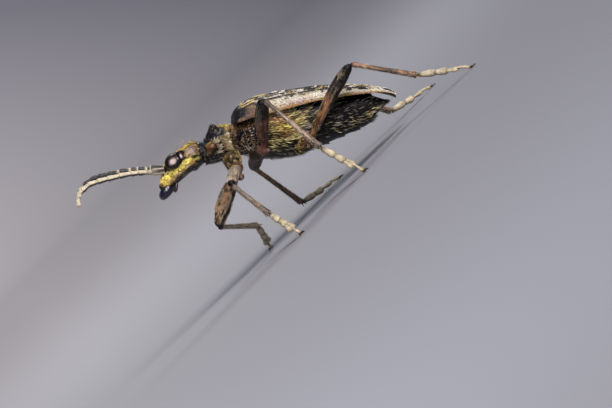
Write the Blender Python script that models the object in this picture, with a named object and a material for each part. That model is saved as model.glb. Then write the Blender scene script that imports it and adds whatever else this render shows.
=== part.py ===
"""A longhorn beetle, the ribbed pine borer, life size and standing on its six feet.

The trunk is modelled in the beetle's own frame: u runs from the front edge of the wing
cases to the tail, v to the beetle's right and w up through its back. The head has a frame
of its own, and the legs and feelers hang on named joints in the frame of the floor:
x runs from head to tail, y to the beetle's right and z up, with the floor at z = 0.
All lengths are in millimetres until the finished meshes are brought to metres.
"""

import math

import bmesh
import bpy
from mathutils import Matrix, Vector

MM = 0.001
GAP = 0.3  # between neighbouring plates of the trunk
JOINT_GAP = 0.2  # between the slender pieces of legs, feelers and mouth
SIDES = {"left": -1, "right": 1}

# Stance: the middle of the feet and feelers stands over the origin, head end raised.
STANCE_CENTRE = Vector((-0.171, 0.928, 0.0))
BODY_START = Vector((-1.78, 0.0, 8.17))
BODY_PITCH = math.radians(34.5)
HEAD_START = (-2.85, -1.55)
HEAD_DROOP = math.radians(32.6)

# Wing cases: u, then a height or a half width there.
CASE_CROWN = ((-0.2, 0.8), (0.1, 1.18), (0.45, 1.42), (0.9, 1.63), (1.5, 1.8), (2.4, 1.87),
              (3.6, 1.89), (5.75, 1.83), (8.2, 1.5), (9.76, 1.2), (10.9, 0.78), (11.4, 0.5))
CASE_MARGIN = ((-0.2, 0.3), (0.5, 0.45), (1.4, 0.58), (2.4, 0.64), (4.2, 0.8), (6.1, 0.94),
               (8.4, 0.9), (10.0, 0.8), (10.9, 0.6), (11.4, 0.35))
CASE_REACH = ((-0.2, 1.9), (0.05, 2.4), (0.5, 2.7), (1.2, 2.8), (3.0, 2.74), (5.0, 2.6),
              (8.0, 2.3), (9.6, 1.95), (10.6, 1.42), (11.15, 0.85), (11.4, 0.45))
CASE_START, CASE_END = -0.2, 11.4
CASE_THICK = 0.5
CASE_POWER = 2.7
CASE_STEPS = 22
CASE_SHARES = (0, 0.17, 0.27, 0.34, 0.41, 0.48, 0.54, 0.61, 0.68, 0.74, 0.8, 0.87, 0.94, 0.985, 1)
CASE_UNDER_SHARES = (1, 0.93, 0.75, 0.45, 0)
RIB_PLACES = (0.34, 0.61, 0.8)  # shares of the way from the suture to the margin
RIB_HEIGHT = 0.15
RIB_WIDTH = 0.055
SUTURE = 0.12  # half the slit between the two wing cases
SHIELD_LENGTH, SHIELD_HALF, SHIELD_DEPTH, SHIELD_SUNK = 1.2, 0.36, 1.2, 0.1
SHIELD_ROOM = 0.04

# Trunk under the wing cases.
TRUNK_START, CHEST_END, BELLY_START, TRUNK_END = -0.35, 4.9, 5.2, 10.9
TRUNK_KEEL = ((-0.35, -1.75), (0.32, -2.0), (1.48, -2.45), (2.16, -2.57), (3.5, -2.63),
              (5.2, -2.38), (7.0, -1.95), (9.0, -1.4), (10.3, -0.8), (10.9, -0.4))
TRUNK_HALF = ((-0.35, 1.35), (0.1, 1.8), (0.8, 2.18), (2.0, 2.32), (3.5, 2.38), (5.0, 2.32),
              (7.0, 2.1), (9.0, 1.7), (10.3, 1.1), (10.9, 0.5))
TRUNK_WAIST = 0.6  # how far up each cross cut is widest
BACK_FLAT_BEFORE = 5.0  # the trunk's back follows the wing cases only behind this
NAPE_SLOPE = 0.3
CHEST_CUTS, BELLY_CUTS = 13, 19
BELLY_RINGS = 5
BELLY_STEP = 0.05

# Collar between head and trunk: along it from rear to front, 0 to 1.
COLLAR_REAR, COLLAR_FRONT = ((-0.67, 0.23), (-0.42, -2.05)), ((-2.46, -0.5), (-2.6, -2.2))
COLLAR_RISE = ((0.0, 0.0), (0.12, -0.12), (0.3, 0.3), (0.52, 0.7), (0.66, 0.55), (0.86, 0.02),
               (1.0, 0.0))
COLLAR_HALF = ((0.0, 1.48), (0.12, 1.42), (0.35, 1.62), (0.5, 1.66), (0.72, 1.45), (0.88, 1.2),
               (1.0, 1.27))
COLLAR_CUTS = 12
COLLAR_CREST = 0.72  # share of the rise that the collar itself takes, the knobs take the rest
THORN_ROOT, THORN_TIP = (-1.42, 1.2, -1.07), (-1.47, 2.15, -0.87)
THORN_SHARES, THORN_RADII = (0, 0.4, 0.7, 1), (0.5, 0.375, 0.25, 0.06)
KNOB_ROOT, KNOB_TOP = (-1.62, 0.5, 0.12), (-1.66, 0.45, 0.52)
KNOB_SHARES, KNOB_RADII = (-0.5, 0.4, 0.8, 1), (0.4, 0.38, 0.24, 0.1)

# Head: top and bottom of the side outline (p forward, q up), half width and its level.
HEAD_RINGS = (
    ((-0.62, 0.88), (0.39, -0.52), 0.9, 0.5),
    ((-0.1, 1.24), (0.75, -0.56), 1.08, 0.5),
    ((0.5, 1.33), (1.05, -0.42), 1.2, 0.5),
    ((1.1, 1.38), (1.4, -0.36), 1.16, 0.5),
    ((1.75, 1.36), (1.9, -0.35), 1.02, 0.5),
    ((2.3, 1.2), (2.3, -0.32), 0.86, 0.48),
    ((2.75, 0.9), (2.6, -0.25), 0.76, 0.46),
    ((3.2, 0.55), (2.85, -0.14), 0.68, 0.45),
    ((3.52, 0.26), (3.1, -0.02), 0.5, 0.45),
)
EYE_PLACE, EYE_SIZE, EYE_TURN = (1.2, 0.86, 0.86), (0.74, 0.46, 0.52), math.radians(-8)
JAW = ((2.9, 0.3, -0.2), (3.3, 0.42, -0.22), (3.7, 0.34, -0.27), (3.98, 0.12, -0.32))
JAW_RADII = (0.26, 0.28, 0.2, 0.07)
PALP = ((2.2, 0.42, -0.1), (2.5, 0.5, -0.45), (2.85, 0.5, -0.62))
PALP_RADII = (0.18, 0.16, 0.1)

# Feelers: eleven joints along each route.
FEELER_ROUTES = {
    "left": ((-7.1, -0.42, 9.35), (-7.83, -0.6, 9.85), (-8.55, -0.75, 10.47), (-9.37, -0.95, 11.14),
             (-10.12, -1.1, 11.62), (-11.24, -1.3, 12.27), (-12.02, -1.45, 12.58),
             (-12.6, -1.55, 12.58), (-13.1, -1.62, 12.32), (-13.42, -1.68, 11.98)),
    "right": ((-7.1, 0.42, 9.42), (-8.0, 0.6, 10.25), (-8.6, 0.75, 10.78), (-9.3, 0.95, 11.33),
              (-10.03, 1.1, 11.82), (-10.76, 1.3, 12.28), (-11.5, 1.45, 12.62),
              (-12.2, 1.55, 12.72), (-12.75, 1.62, 12.6), (-13.15, 1.68, 12.3)),
}
FEELER_JOINTS = 11
FEELER_RADIUS, FEELER_TIP = 0.27, 0.15

# Legs: root in the beetle's frame, the other joints in the floor's.
LEGS = {
    "front_left": {"root": (-0.8, -0.8, -1.6), "hip": (-3.6, -1.1, 6.1),
                   "knee": (-4.75, -4.85, 5.75), "ankle": (-4.3, -5.4, 2.5),
                   "toe": (-3.7, -7.1, 0.0)},
    "front_right": {"root": (-0.8, 0.8, -1.6), "hip": (-3.9, 1.05, 5.85),
                    "knee": (-7.55, 2.1, 3.98), "ankle": (-5.53, 4.3, 2.05),
                    "toe": (-5.95, 6.3, 0.0)},
    "mid_left": {"root": (1.0, -1.1, -1.9), "hip": (-1.46, -2.05, 5.65),
                 "knee": (0.94, -4.5, 8.45), "ankle": (1.42, -5.8, 3.3),
                 "toe": (2.4, -6.95, 0.0)},
    "mid_right": {"root": (1.0, 1.1, -1.9), "hip": (-1.5, 2.0, 5.6),
                  "knee": (-2.85, 5.95, 5.1), "ankle": (-2.15, 8.15, 0.8),
                  "toe": (1.0, 9.3, 0.0)},
    "hind_left": {"root": (4.05, -1.1, -2.0), "hip": (1.35, -2.1, 4.0),
                  "knee": (6.95, -4.35, 5.92), "ankle": (9.65, -6.7, 2.25),
                  "toe": (12.6, -8.1, 0.0)},
    "hind_right": {"root": (4.05, 1.1, -2.0), "hip": (1.35, 2.1, 4.0),
                   "knee": (4.5, 6.8, 4.9), "ankle": (7.0, 8.9, 0.95),
                   "toe": (10.3, 10.0, 0.0)},
}
HIP_SHARES, HIP_RADII = (0, 0.45, 0.85), (0.62, 0.56, 0.36, 0.3)
HIP_REACH = 0.1  # how far the hip's second joint follows the thigh
CLUB = {"front": 0.55, "mid": 0.5, "hind": 0.44}  # thickest half width of each thigh
THIGH_ROOT, THIGH_KNEE, THIGH_CUTS = 0.26, 0.28, 8
THIGH_BOW = 0.16  # how far a thigh bows upwards between hip and knee
SHIN_SHARES, SHIN_RADII = (0, 0.3, 0.7, 0.94, 1), (0.25, 0.25, 0.26, 0.27, 0.25)
FOOT_SHARES = (0, 0.13, 0.24, 0.29, 0.38, 0.45, 0.5, 0.6, 0.66, 0.9, 1)
FOOT_RADII = (0.25, 0.27, 0.32, 0.25, 0.28, 0.32, 0.25, 0.3, 0.25, 0.25, 0.25)
FOOT_FIRST = 0.25  # share of the foot that its first joint takes
LOBE, LOBE_RADII = ((0.52, 0.05), (0.66, 0.24), (0.76, 0.34)), (0.25, 0.25, 0.13)
CLAW, CLAW_RADII = ((0, 0.05, 0.02), (0.3, 0.2, 0.04), (0.5, 0.24, -0.08)), (0.18, 0.12, 0.05)
FOOT_SOLE = 0.22  # how far the last foot joint's middle is above the floor
SOLE_RADII, SOLE_DEPTH = (0.19, 0.24), 0.52
FLOOR_SIZE = (60, 60, 4)

SHELL_COLOURS = {
    "head": (0.16, 0.12, 0.04), "eye": (0.004, 0.004, 0.006), "mandible": (0.008, 0.008, 0.012),
    "antenna": (0.19, 0.16, 0.12), "pronotum": (0.02, 0.018, 0.014), "thorax": (0.14, 0.1, 0.04),
    "abdomen": (0.03, 0.028, 0.022), "elytron": (0.3, 0.24, 0.15), "coxa": (0.1, 0.04, 0.02),
    "femur": (0.1, 0.055, 0.03), "tibia": (0.24, 0.15, 0.09), "tarsus": (0.42, 0.36, 0.28),
}
GLOSSY = {"eye": 0.12, "mandible": 0.25, "pronotum": 0.35}
DULL = 0.6

for leftover in list(bpy.data.objects):
    bpy.data.objects.remove(leftover)
beetle = bpy.data.collections.new("longhorn_beetle")
bpy.context.scene.collection.children.link(beetle)


def through(points, x):
    """Value at x of a smooth curve through a few (x, value) points, with no overshoot."""
    xs, ys = zip(*points)
    x = min(max(x, xs[0]), xs[-1])
    slopes = [(ys[k + 1] - ys[k]) / (xs[k + 1] - xs[k]) for k in range(len(xs) - 1)]

    def tangent(k):
        if k in (0, len(slopes)):
            return slopes[min(k, len(slopes) - 1)]
        before, after = slopes[k - 1], slopes[k]
        return 2 * before * after / (before + after) if before * after > 0 else 0.0

    k = max(index for index in range(len(slopes)) if xs[index] <= x)
    span = xs[k + 1] - xs[k]
    t = (x - xs[k]) / span
    return (ys[k] * (1 + 2 * t) * (1 - t) ** 2 + ys[k + 1] * t * t * (3 - 2 * t)
            + span * (tangent(k) * t * (1 - t) ** 2 - tangent(k + 1) * t * t * (1 - t)))


def between(a, b, t):
    return tuple(p + (q - p) * t for p, q in zip(a, b))


def body(u, v, w):
    """Floor place of a point in the beetle's frame."""
    return BODY_START + Vector((u * math.cos(BODY_PITCH) + w * math.sin(BODY_PITCH), v,
                                -u * math.sin(BODY_PITCH) + w * math.cos(BODY_PITCH)))


def head(p, v, q):
    """Floor place of a point in the head's frame: p towards the mouth, q up."""
    u = HEAD_START[0] - p * math.cos(HEAD_DROOP) - q * math.sin(HEAD_DROOP)
    w = HEAD_START[1] - p * math.sin(HEAD_DROOP) + q * math.cos(HEAD_DROOP)
    return body(u, v, w)


def ring(place, top, bottom, half, waist, power=2.1, sides=22, grow=0.0):
    """A closed cross cut between a top and a bottom point of the side outline."""
    lift = Vector(top) - Vector(bottom)
    rim = lift.normalized() * grow
    top, bottom, half = Vector(top) + rim, Vector(bottom) - rim, half + grow
    points = []
    for k in range(sides):
        angle = 2 * math.pi * k / sides
        side = math.copysign(abs(math.cos(angle)) ** (2 / power), math.cos(angle)) * half
        rise = math.copysign(abs(math.sin(angle)) ** (2 / power), math.sin(angle))
        level = waist + rise * (1 - waist if rise > 0 else waist)
        along, up = bottom.lerp(top, level)
        points.append(place(along, side, up))
    return points


def new_piece(name, mesh):
    piece = bpy.data.objects.new(name, mesh)
    beetle.objects.link(piece)
    return piece


def loft(name, rings):
    """A closed skin over cross cuts that have the same number of points."""
    bm = bmesh.new()
    loops = [[bm.verts.new(point) for point in points] for points in rings]
    for near, far in zip(loops, loops[1:]):
        for k in range(len(near)):
            following = (k + 1) % len(near)
            bm.faces.new((near[k], near[following], far[following], far[k]))
    bm.faces.new(reversed(loops[0]))
    bm.faces.new(loops[-1])
    bmesh.ops.triangulate(bm, faces=bm.faces)
    bmesh.ops.recalc_face_normals(bm, faces=bm.faces)
    mesh = bpy.data.meshes.new(name)
    bm.to_mesh(mesh)
    bm.free()
    return new_piece(name, mesh)


def tube(name, points, radii, grow=0.0):
    """A round rod along points, as thick at each as its radius says."""
    curve = bpy.data.curves.new(name, "CURVE")
    curve.dimensions = "3D"
    curve.bevel_depth = 1.0
    curve.bevel_resolution = 2
    curve.use_fill_caps = True
    spline = curve.splines.new("POLY")
    spline.points.add(len(points) - 1)
    for control, point, radius in zip(spline.points, points, radii):
        control.co = (*point, 1.0)
        control.radius = radius + grow
    rod = new_piece(name + "_route", curve)
    graph = bpy.context.evaluated_depsgraph_get()
    mesh = bpy.data.meshes.new_from_object(rod.evaluated_get(graph))
    bpy.data.objects.remove(rod)
    bm = bmesh.new()
    bm.from_mesh(mesh)
    bmesh.ops.remove_doubles(bm, verts=bm.verts, dist=1e-5)
    bmesh.ops.recalc_face_normals(bm, faces=bm.faces)
    bm.to_mesh(mesh)
    bm.free()
    return new_piece(name, mesh)


def ball(name, middle, sizes, turn=0.0, grow=0.0):
    """An egg shape in the head's frame, turned in the side view."""
    bm = bmesh.new()
    bmesh.ops.create_uvsphere(bm, u_segments=16, v_segments=10, radius=1.0)
    for vert in bm.verts:
        p, v, q = (c * (size + grow) for c, size in zip(vert.co, sizes))
        p, q = p * math.cos(turn) - q * math.sin(turn), p * math.sin(turn) + q * math.cos(turn)
        vert.co = head(middle[0] + p, middle[1] + v, middle[2] + q)
    bm.normal_update()
    bmesh.ops.recalc_face_normals(bm, faces=bm.faces)
    mesh = bpy.data.meshes.new(name)
    bm.to_mesh(mesh)
    bm.free()
    return new_piece(name, mesh)


def boolean(piece, tools, operation):
    """Joins the tools to the piece, or cuts them out of it, and removes them."""
    if not tools:
        return
    group = bpy.data.collections.new("tools")
    bpy.context.scene.collection.children.link(group)
    for tool in tools:
        group.objects.link(tool)
    modifier = piece.modifiers.new(operation.title(), "BOOLEAN")
    modifier.operation = operation
    modifier.operand_type = "COLLECTION"
    modifier.collection = group
    modifier.solver = "EXACT"
    graph = bpy.context.evaluated_depsgraph_get()
    shaped = bpy.data.meshes.new_from_object(piece.evaluated_get(graph))
    piece.modifiers.clear()
    piece.data = shaped
    for tool in tools:
        bpy.data.objects.remove(tool)
    bpy.data.collections.remove(group)


def keep_largest(mesh):
    """Drops every closed surface of the mesh but the largest."""
    bm = bmesh.new()
    bm.from_mesh(mesh)
    bmesh.ops.triangulate(bm, faces=bm.faces)
    waiting, surfaces = set(bm.verts), []
    while waiting:
        front, surface = [waiting.pop()], set()
        while front:
            vert = front.pop()
            surface.add(vert)
            for edge in vert.link_edges:
                neighbour = edge.other_vert(vert)
                if neighbour in waiting:
                    waiting.remove(neighbour)
                    front.append(neighbour)
        faces = {face for vert in surface for face in vert.link_faces}
        size = sum(abs(f.verts[0].co.dot(f.verts[1].co.cross(f.verts[2].co))) for f in faces)
        surfaces.append((len(faces), size, surface))
    largest = max(surfaces, key=lambda entry: entry[:2])[2]
    bmesh.ops.delete(bm, geom=[vert for vert in bm.verts if vert not in largest], context="VERTS")
    bm.to_mesh(mesh)
    bm.free()


def finish(name, kind, pieces, cutters=()):
    """Joins a node's pieces, cuts its neighbours' room from it and brings it to metres."""
    piece, *others = pieces
    boolean(piece, others, "UNION")
    boolean(piece, list(cutters), "DIFFERENCE")
    keep_largest(piece.data)
    piece.data.transform(Matrix.Scale(MM, 4) @ Matrix.Translation(-STANCE_CENTRE))
    piece.name = piece.data.name = name
    piece.data.materials.clear()
    piece.data.materials.append(chitin(kind))
    piece.data.shade_smooth()
    piece.data.set_sharp_from_angle(angle=math.radians(40))
    return piece


def chitin(kind):
    """Horny shell in the colour that this kind of piece has."""
    material = bpy.data.materials.get(kind) or bpy.data.materials.new(kind)
    material.use_nodes = True
    shader = material.node_tree.nodes["Principled BSDF"]
    shader.inputs["Base Color"].default_value = (*SHELL_COLOURS[kind], 1.0)
    shader.inputs["Roughness"].default_value = GLOSSY.get(kind, DULL)
    shader.inputs["Metallic"].default_value = 0.0
    return material


def trunk_rings(start, end, count, grow=0.0, stepped=False):
    """Cross cuts of the trunk from start to end, one shell plate stepping under the next."""
    rings = []
    for k in range(count):
        u = start + (end - start) * k / (count - 1)
        plate = (u - start) / (end - start) * BELLY_RINGS % 1.0 if stepped else 0.0
        shrink = 1 - BELLY_STEP * plate if stepped and 0 < k < count - 1 else 1.0
        roof = through(CASE_CROWN, u) - CASE_THICK - GAP
        top = min(roof, through(CASE_CROWN, BACK_FLAT_BEFORE))
        if u < CASE_START:
            top += (u - CASE_START) * NAPE_SLOPE
        keel = through(TRUNK_KEEL, u) * shrink
        half = through(TRUNK_HALF, u) * shrink
        rings.append(ring(body, (u, top), (u, keel), half, TRUNK_WAIST, grow=grow))
    return rings


def chest(grow=0.0):
    return loft("thorax", trunk_rings(TRUNK_START - grow, CHEST_END + grow, CHEST_CUTS, grow))


def belly(grow=0.0):
    rings = trunk_rings(BELLY_START - grow, TRUNK_END, BELLY_CUTS, grow, stepped=True)
    return loft("abdomen", rings)


def shield():
    """The small three-sided plate between the bases of the wing cases."""
    rings = []
    for t in (0, 1 / 3, 2 / 3, 1):
        u = CASE_START + t * SHIELD_LENGTH - 0.05
        top = through(CASE_CROWN, u) - SHIELD_SUNK
        half = SHIELD_HALF * (1 - t) + SHIELD_ROOM
        rings.append(ring(body, (u, top), (u, top - SHIELD_DEPTH), half, 0.5, power=3.0, sides=8))
    return loft("shield", rings)


def collar(grow=0.0):
    """The neck shield behind the head, with two knobs on top and a thorn on each side."""
    rings = []
    for k in range(COLLAR_CUTS):
        t = k / (COLLAR_CUTS - 1)
        rise = through(COLLAR_RISE, t)
        top = between(COLLAR_REAR[0], COLLAR_FRONT[0], t)
        bottom = between(COLLAR_REAR[1], COLLAR_FRONT[1], t)
        crown = (top[0], top[1] + rise * COLLAR_CREST)
        rings.append(ring(body, crown, bottom, through(COLLAR_HALF, t), 0.5, grow=grow))
    pieces = [loft("pronotum", rings)]
    if grow:
        return pieces[0]
    for side in SIDES.values():
        for name, root, tip, shares, radii in (
            ("thorn", THORN_ROOT, THORN_TIP, THORN_SHARES, THORN_RADII),
            ("knob", KNOB_ROOT, KNOB_TOP, KNOB_SHARES, KNOB_RADII),
        ):
            ends = [body(u, side * v, w) for u, v, w in (root, tip)]
            pieces.append(tube(name, [ends[0].lerp(ends[1], t) for t in shares], radii))
    return pieces


def skull(grow=0.0):
    rings = [ring(head, top, bottom, half, waist, sides=20, grow=grow)
             for top, bottom, half, waist in HEAD_RINGS]
    return loft("head", rings)


def eye(side, grow=0.0):
    p, v, q = EYE_PLACE
    return ball("eye", (p, side * v, q), EYE_SIZE, EYE_TURN, grow)


def wing_case(side):
    """One wing case: a ribbed shell, thick as its rim, from the suture out to its margin."""
    rings = []
    for k in range(CASE_STEPS + 1):
        turn = math.pi * k / CASE_STEPS
        u = CASE_START + (CASE_END - CASE_START) * (1 - math.cos(turn)) / 2
        crown, margin = through(CASE_CROWN, u), through(CASE_MARGIN, u)
        reach = through(CASE_REACH, u)
        notch = max(0.0, 1 - (u - CASE_START) / SHIELD_LENGTH)
        edge = SUTURE + notch * (SHIELD_HALF + SHIELD_ROOM)
        fade = abs(math.sin(turn)) ** 0.5
        outer, inner = [], []
        for share in CASE_SHARES:
            rib = sum(math.exp(-((share - place) / RIB_WIDTH) ** 2) for place in RIB_PLACES)
            v = max(edge, share * reach) if share else edge
            height = (1 - share ** CASE_POWER) ** (1 / CASE_POWER) if share < 1 else 0.0
            w = margin + (crown - margin) * height + RIB_HEIGHT * fade * rib
            outer.append(body(u, side * v, w))
        under_crown = crown - CASE_THICK
        under_margin = min(margin, under_crown)
        for share in CASE_UNDER_SHARES:
            v = max(edge, share * (reach - CASE_THICK))
            height = (1 - share ** CASE_POWER) ** (1 / CASE_POWER) if share < 1 else 0.0
            inner.append(body(u, side * v, under_margin + (under_crown - under_margin) * height))
        rings.append(outer + inner)
    return loft("elytron", rings)


def feeler(route):
    """A feeler of joints that are each thickest at their far end."""
    count = FEELER_JOINTS * 2 + 1
    points, radii = [], []
    spans = [math.dist(a, b) for a, b in zip(route, route[1:])]
    total = sum(spans)
    reached = [sum(spans[:k]) / total for k in range(len(spans) + 1)]
    for k in range(count):
        t = k / (count - 1)
        points.append([through(tuple(zip(reached, axis)), t) for axis in zip(*route)])
        swell = 1.0 if k % 2 else 0.92
        radii.append((FEELER_RADIUS + (FEELER_TIP - FEELER_RADIUS) * t ** 1.5) * swell)
    return points, radii


def hip_rod(leg, grow=0.0):
    """Hip joint and its small second joint, from inside the trunk out to the thigh."""
    root, hip = body(*leg["root"]), Vector(leg["hip"])
    toward = (Vector(leg["knee"]) - hip).normalized()
    route = [root.lerp(hip, t) for t in HIP_SHARES] + [hip + toward * HIP_REACH]
    return tube("coxa", route, HIP_RADII, grow)


def thigh_rod(leg, club):
    hip, knee = Vector(leg["hip"]), Vector(leg["knee"])
    along = (knee - hip).normalized()
    upward = (Vector((0, 0, 1)) - along * along.z).normalized()
    route, radii = [], []
    for k in range(THIGH_CUTS):
        t = k / (THIGH_CUTS - 1)
        route.append(hip.lerp(knee, t) + upward * THIGH_BOW * math.sin(math.pi * t))
        swell = math.sin(math.pi * t ** 1.1) ** 1.3
        base = THIGH_ROOT + (THIGH_KNEE - THIGH_ROOT) * t
        radii.append(base + (club - base) * swell)
    return tube("femur", route, radii)


def shin_rod(leg, grow=0.0):
    knee, ankle = Vector(leg["knee"]), Vector(leg["ankle"])
    return tube("tibia", [knee.lerp(ankle, t) for t in SHIN_SHARES], SHIN_RADII, grow)


def foot_route(leg):
    ankle, toe = Vector(leg["ankle"]), Vector(leg["toe"])
    return ankle, Vector((toe.x, toe.y, FOOT_SOLE))


def foot_rods(leg):
    """Foot of four joints: two pads, a pad split in two lobes, and the claw joint."""
    ankle, toe = foot_route(leg)
    pieces = [tube("tarsus", [ankle.lerp(toe, t) for t in FOOT_SHARES], FOOT_RADII)]
    along = (toe - ankle).normalized()
    across = along.cross(Vector((0, 0, 1))).normalized()
    flat = Vector((along.x, along.y, 0)).normalized()
    for side in SIDES.values():
        lobe = [ankle.lerp(toe, t) + across * side * out for t, out in LOBE]
        pieces.append(tube("lobe", lobe, LOBE_RADII))
        claw = [toe + flat * ahead + across * side * out + Vector((0, 0, lift))
                for ahead, out, lift in CLAW]
        pieces.append(tube("claw", claw, CLAW_RADII))
    pieces.append(tube("sole", [toe, toe - Vector((0, 0, SOLE_DEPTH))], SOLE_RADII))
    return pieces


def foot_room(leg):
    """The foot's first joint grown by the joint gap, to cut the shin's end to it."""
    ankle, toe = foot_route(leg)
    return tube("room", [ankle, ankle.lerp(toe, FOOT_FIRST)], FOOT_RADII[1:2] * 2, JOINT_GAP)


def floor_block():
    bm = bmesh.new()
    bmesh.ops.create_cube(bm, size=1.0, matrix=Matrix.Diagonal((*FLOOR_SIZE, 1)))
    bmesh.ops.translate(bm, verts=bm.verts, vec=(0, 0, -FLOOR_SIZE[2] / 2))
    mesh = bpy.data.meshes.new("floor_block")
    bm.to_mesh(mesh)
    bm.free()
    return new_piece("floor_block", mesh)


finish("head", "head", [skull()] + [
    tube("palp", [head(p, side * v, q) for p, v, q in PALP], PALP_RADII) for side in SIDES.values()
], [eye(side, JOINT_GAP) for side in SIDES.values()])
finish("pronotum", "pronotum", collar())
finish("thorax", "thorax", [chest(), shield()])
finish("abdomen", "abdomen", [belly()])

for label, side in SIDES.items():
    finish("eye_" + label, "eye", [eye(side)])
    jaw = [head(p, side * v, q) for p, v, q in JAW]
    finish("mandible_" + label, "mandible", [tube("jaw", jaw, JAW_RADII)], [skull(JOINT_GAP)])
    finish("elytron_" + label, "elytron", [wing_case(side)])
    finish("antenna_" + label, "antenna", [tube("antenna", *feeler(FEELER_ROUTES[label]))],
           [skull(JOINT_GAP)])

for label, leg in LEGS.items():
    pair = label.split("_")[0]
    plates = {"front": (collar, chest), "mid": (chest,), "hind": (chest, belly)}[pair]
    finish("coxa_" + label, "coxa", [hip_rod(leg)], [plate(JOINT_GAP) for plate in plates])
    finish("femur_" + label, "femur", [thigh_rod(leg, CLUB[pair])],
           [hip_rod(leg, JOINT_GAP), shin_rod(leg, JOINT_GAP)])
    finish("tibia_" + label, "tibia", [shin_rod(leg)], [foot_room(leg)])
    finish("tarsus_" + label, "tarsus", foot_rods(leg), [floor_block()])
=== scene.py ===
# %% [markdown]
# # A ribbed pine borer, life size
# A longhorn beetle is a set of hard plates over soft joints, and most plates carry short
# hair that lies flat. This lesson dresses the plain solids of the frame: each plate becomes
# a fine skin, then a coat of hair is planted on it as real mesh, and both take their
# markings from the same small functions. Lengths are in millimetres until a mesh is made.

# %% Frame, units and the beetle's own axes
import itertools
import math
from functools import partial

import bmesh
import bpy
import numpy as np
from mathutils import Matrix, Vector


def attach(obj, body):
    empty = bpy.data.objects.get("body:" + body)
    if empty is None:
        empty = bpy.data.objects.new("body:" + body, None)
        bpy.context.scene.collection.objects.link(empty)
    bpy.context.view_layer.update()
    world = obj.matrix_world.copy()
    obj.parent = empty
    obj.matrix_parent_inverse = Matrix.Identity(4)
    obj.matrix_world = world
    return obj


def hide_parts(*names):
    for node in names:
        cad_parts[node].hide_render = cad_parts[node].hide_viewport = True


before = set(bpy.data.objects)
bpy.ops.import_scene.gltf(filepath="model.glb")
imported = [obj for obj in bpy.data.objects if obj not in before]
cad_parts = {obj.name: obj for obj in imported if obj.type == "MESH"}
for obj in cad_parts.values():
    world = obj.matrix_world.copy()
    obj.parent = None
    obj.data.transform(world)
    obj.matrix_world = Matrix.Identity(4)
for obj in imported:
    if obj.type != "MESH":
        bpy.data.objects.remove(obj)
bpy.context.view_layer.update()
MM = 0.001
SIDES = {"left": -1, "right": 1}
STANCE_CENTRE = np.array((-0.171, 0.928, 0.0))  # this place is the frame's origin
BODY_START, BODY_PITCH = np.array((-1.78, 0.0, 8.17)), math.radians(34.5)
HEAD_START, HEAD_DROOP = (-2.85, -1.55), math.radians(32.6)

# %% [markdown]
# Two frames save a lot of arithmetic. In the body's frame u runs from the front edge of the
# wing cases to the tail, v to the right and w up through the back. The head droops from the
# body, so it has p towards the mouth and q up. All of these work on whole arrays of points.

# %% Places in the body and in the head, and smooth curves through a few sizes
def body(u, v, w):
    x = u * math.cos(BODY_PITCH) + w * math.sin(BODY_PITCH)
    z = -u * math.sin(BODY_PITCH) + w * math.cos(BODY_PITCH)
    return BODY_START + np.stack(np.broadcast_arrays(x, v, z), -1)


def head(p, v, q):
    u = HEAD_START[0] - p * math.cos(HEAD_DROOP) - q * math.sin(HEAD_DROOP)
    w = HEAD_START[1] - p * math.sin(HEAD_DROOP) + q * math.cos(HEAD_DROOP)
    return body(u, v, w)


def through(points, x):
    """Value at x of a smooth curve through a few (x, value) pairs, with no overshoot."""
    xs, ys = np.array(points, float).T
    x = np.clip(x, xs[0], xs[-1])
    slope = np.diff(ys) / np.diff(xs)
    before, after = slope[:-1], slope[1:]
    inner = np.where(before * after > 0, 2 * before * after / (before + after + 1e-12), 0)
    tangent = np.concatenate((slope[:1], inner, slope[-1:]))
    k = np.clip(np.searchsorted(xs, x, side="right") - 1, 0, len(slope) - 1)
    span = xs[k + 1] - xs[k]
    t = (x - xs[k]) / span
    return (ys[k] * (1 + 2 * t) * (1 - t) ** 2 + ys[k + 1] * t * t * (3 - 2 * t)
            + span * (tangent[k] * t * (1 - t) ** 2 - tangent[k + 1] * t * t * (1 - t)))


def unit(vectors):
    return vectors / np.maximum(np.linalg.norm(vectors, axis=-1, keepdims=True), 1e-9)


def soft(x, low, high):
    """0 below low, 1 above high and a smooth slope between."""
    t = np.clip((x - low) / (high - low), 0, 1)
    return t * t * (3 - 2 * t)


def bump(x, centre, width):
    """1 at the centre, falling off smoothly over the width."""
    return np.exp(-((x - centre) / width) ** 2)


print("body frame starts at", body(0, 0, 0).round(2), "and the head's at", head(0, 0, 0).round(2))

# %% [markdown]
# Nothing on an insect is quite even. This noise gives smooth lumps of a chosen size in
# millimetres at any point, the same on each run, so a skin and its hair can share it.

# %% Smooth noise at points in millimetres
ASKEW = np.array(Matrix.Rotation(0.7, 3, Vector((1, 2, 3))))  # so that no lump lines up
BEND, BEND_RATE = 0.3, 2.1  # the grid of lumps is bent by this much, this often
# A cell's number is multiplied by large ones and cut to 16 bits, which scatters its values.
HASH, REHASH = (73856093, 19349663, 83492791, 2654435), (1103515245, 12345)
KEPT_BITS, LEVELS = 0x7FFFFFFF, 0xFFFF


def noise(points, size, seed=0):
    """Lumps between -1 and 1, about this far apart."""
    place = points @ ASKEW / size
    place += BEND * np.sin(BEND_RATE * place[:, (1, 2, 0)] + seed)
    cell = np.floor(place).astype(np.int64)
    part = soft(place - cell, 0, 1)
    total = np.zeros(len(points))
    for corner in itertools.product((0, 1), repeat=3):
        x, y, z = (cell + corner).T
        hashed = (x * HASH[0]) ^ (y * HASH[1]) ^ (z * HASH[2]) ^ (seed * HASH[3])
        hashed = (hashed * REHASH[0] + REHASH[1]) & KEPT_BITS
        value = ((hashed >> 8) & LEVELS) / LEVELS
        total += value * np.prod(np.where(corner, part, 1 - part), axis=1)
    return total * 2 - 1


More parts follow.
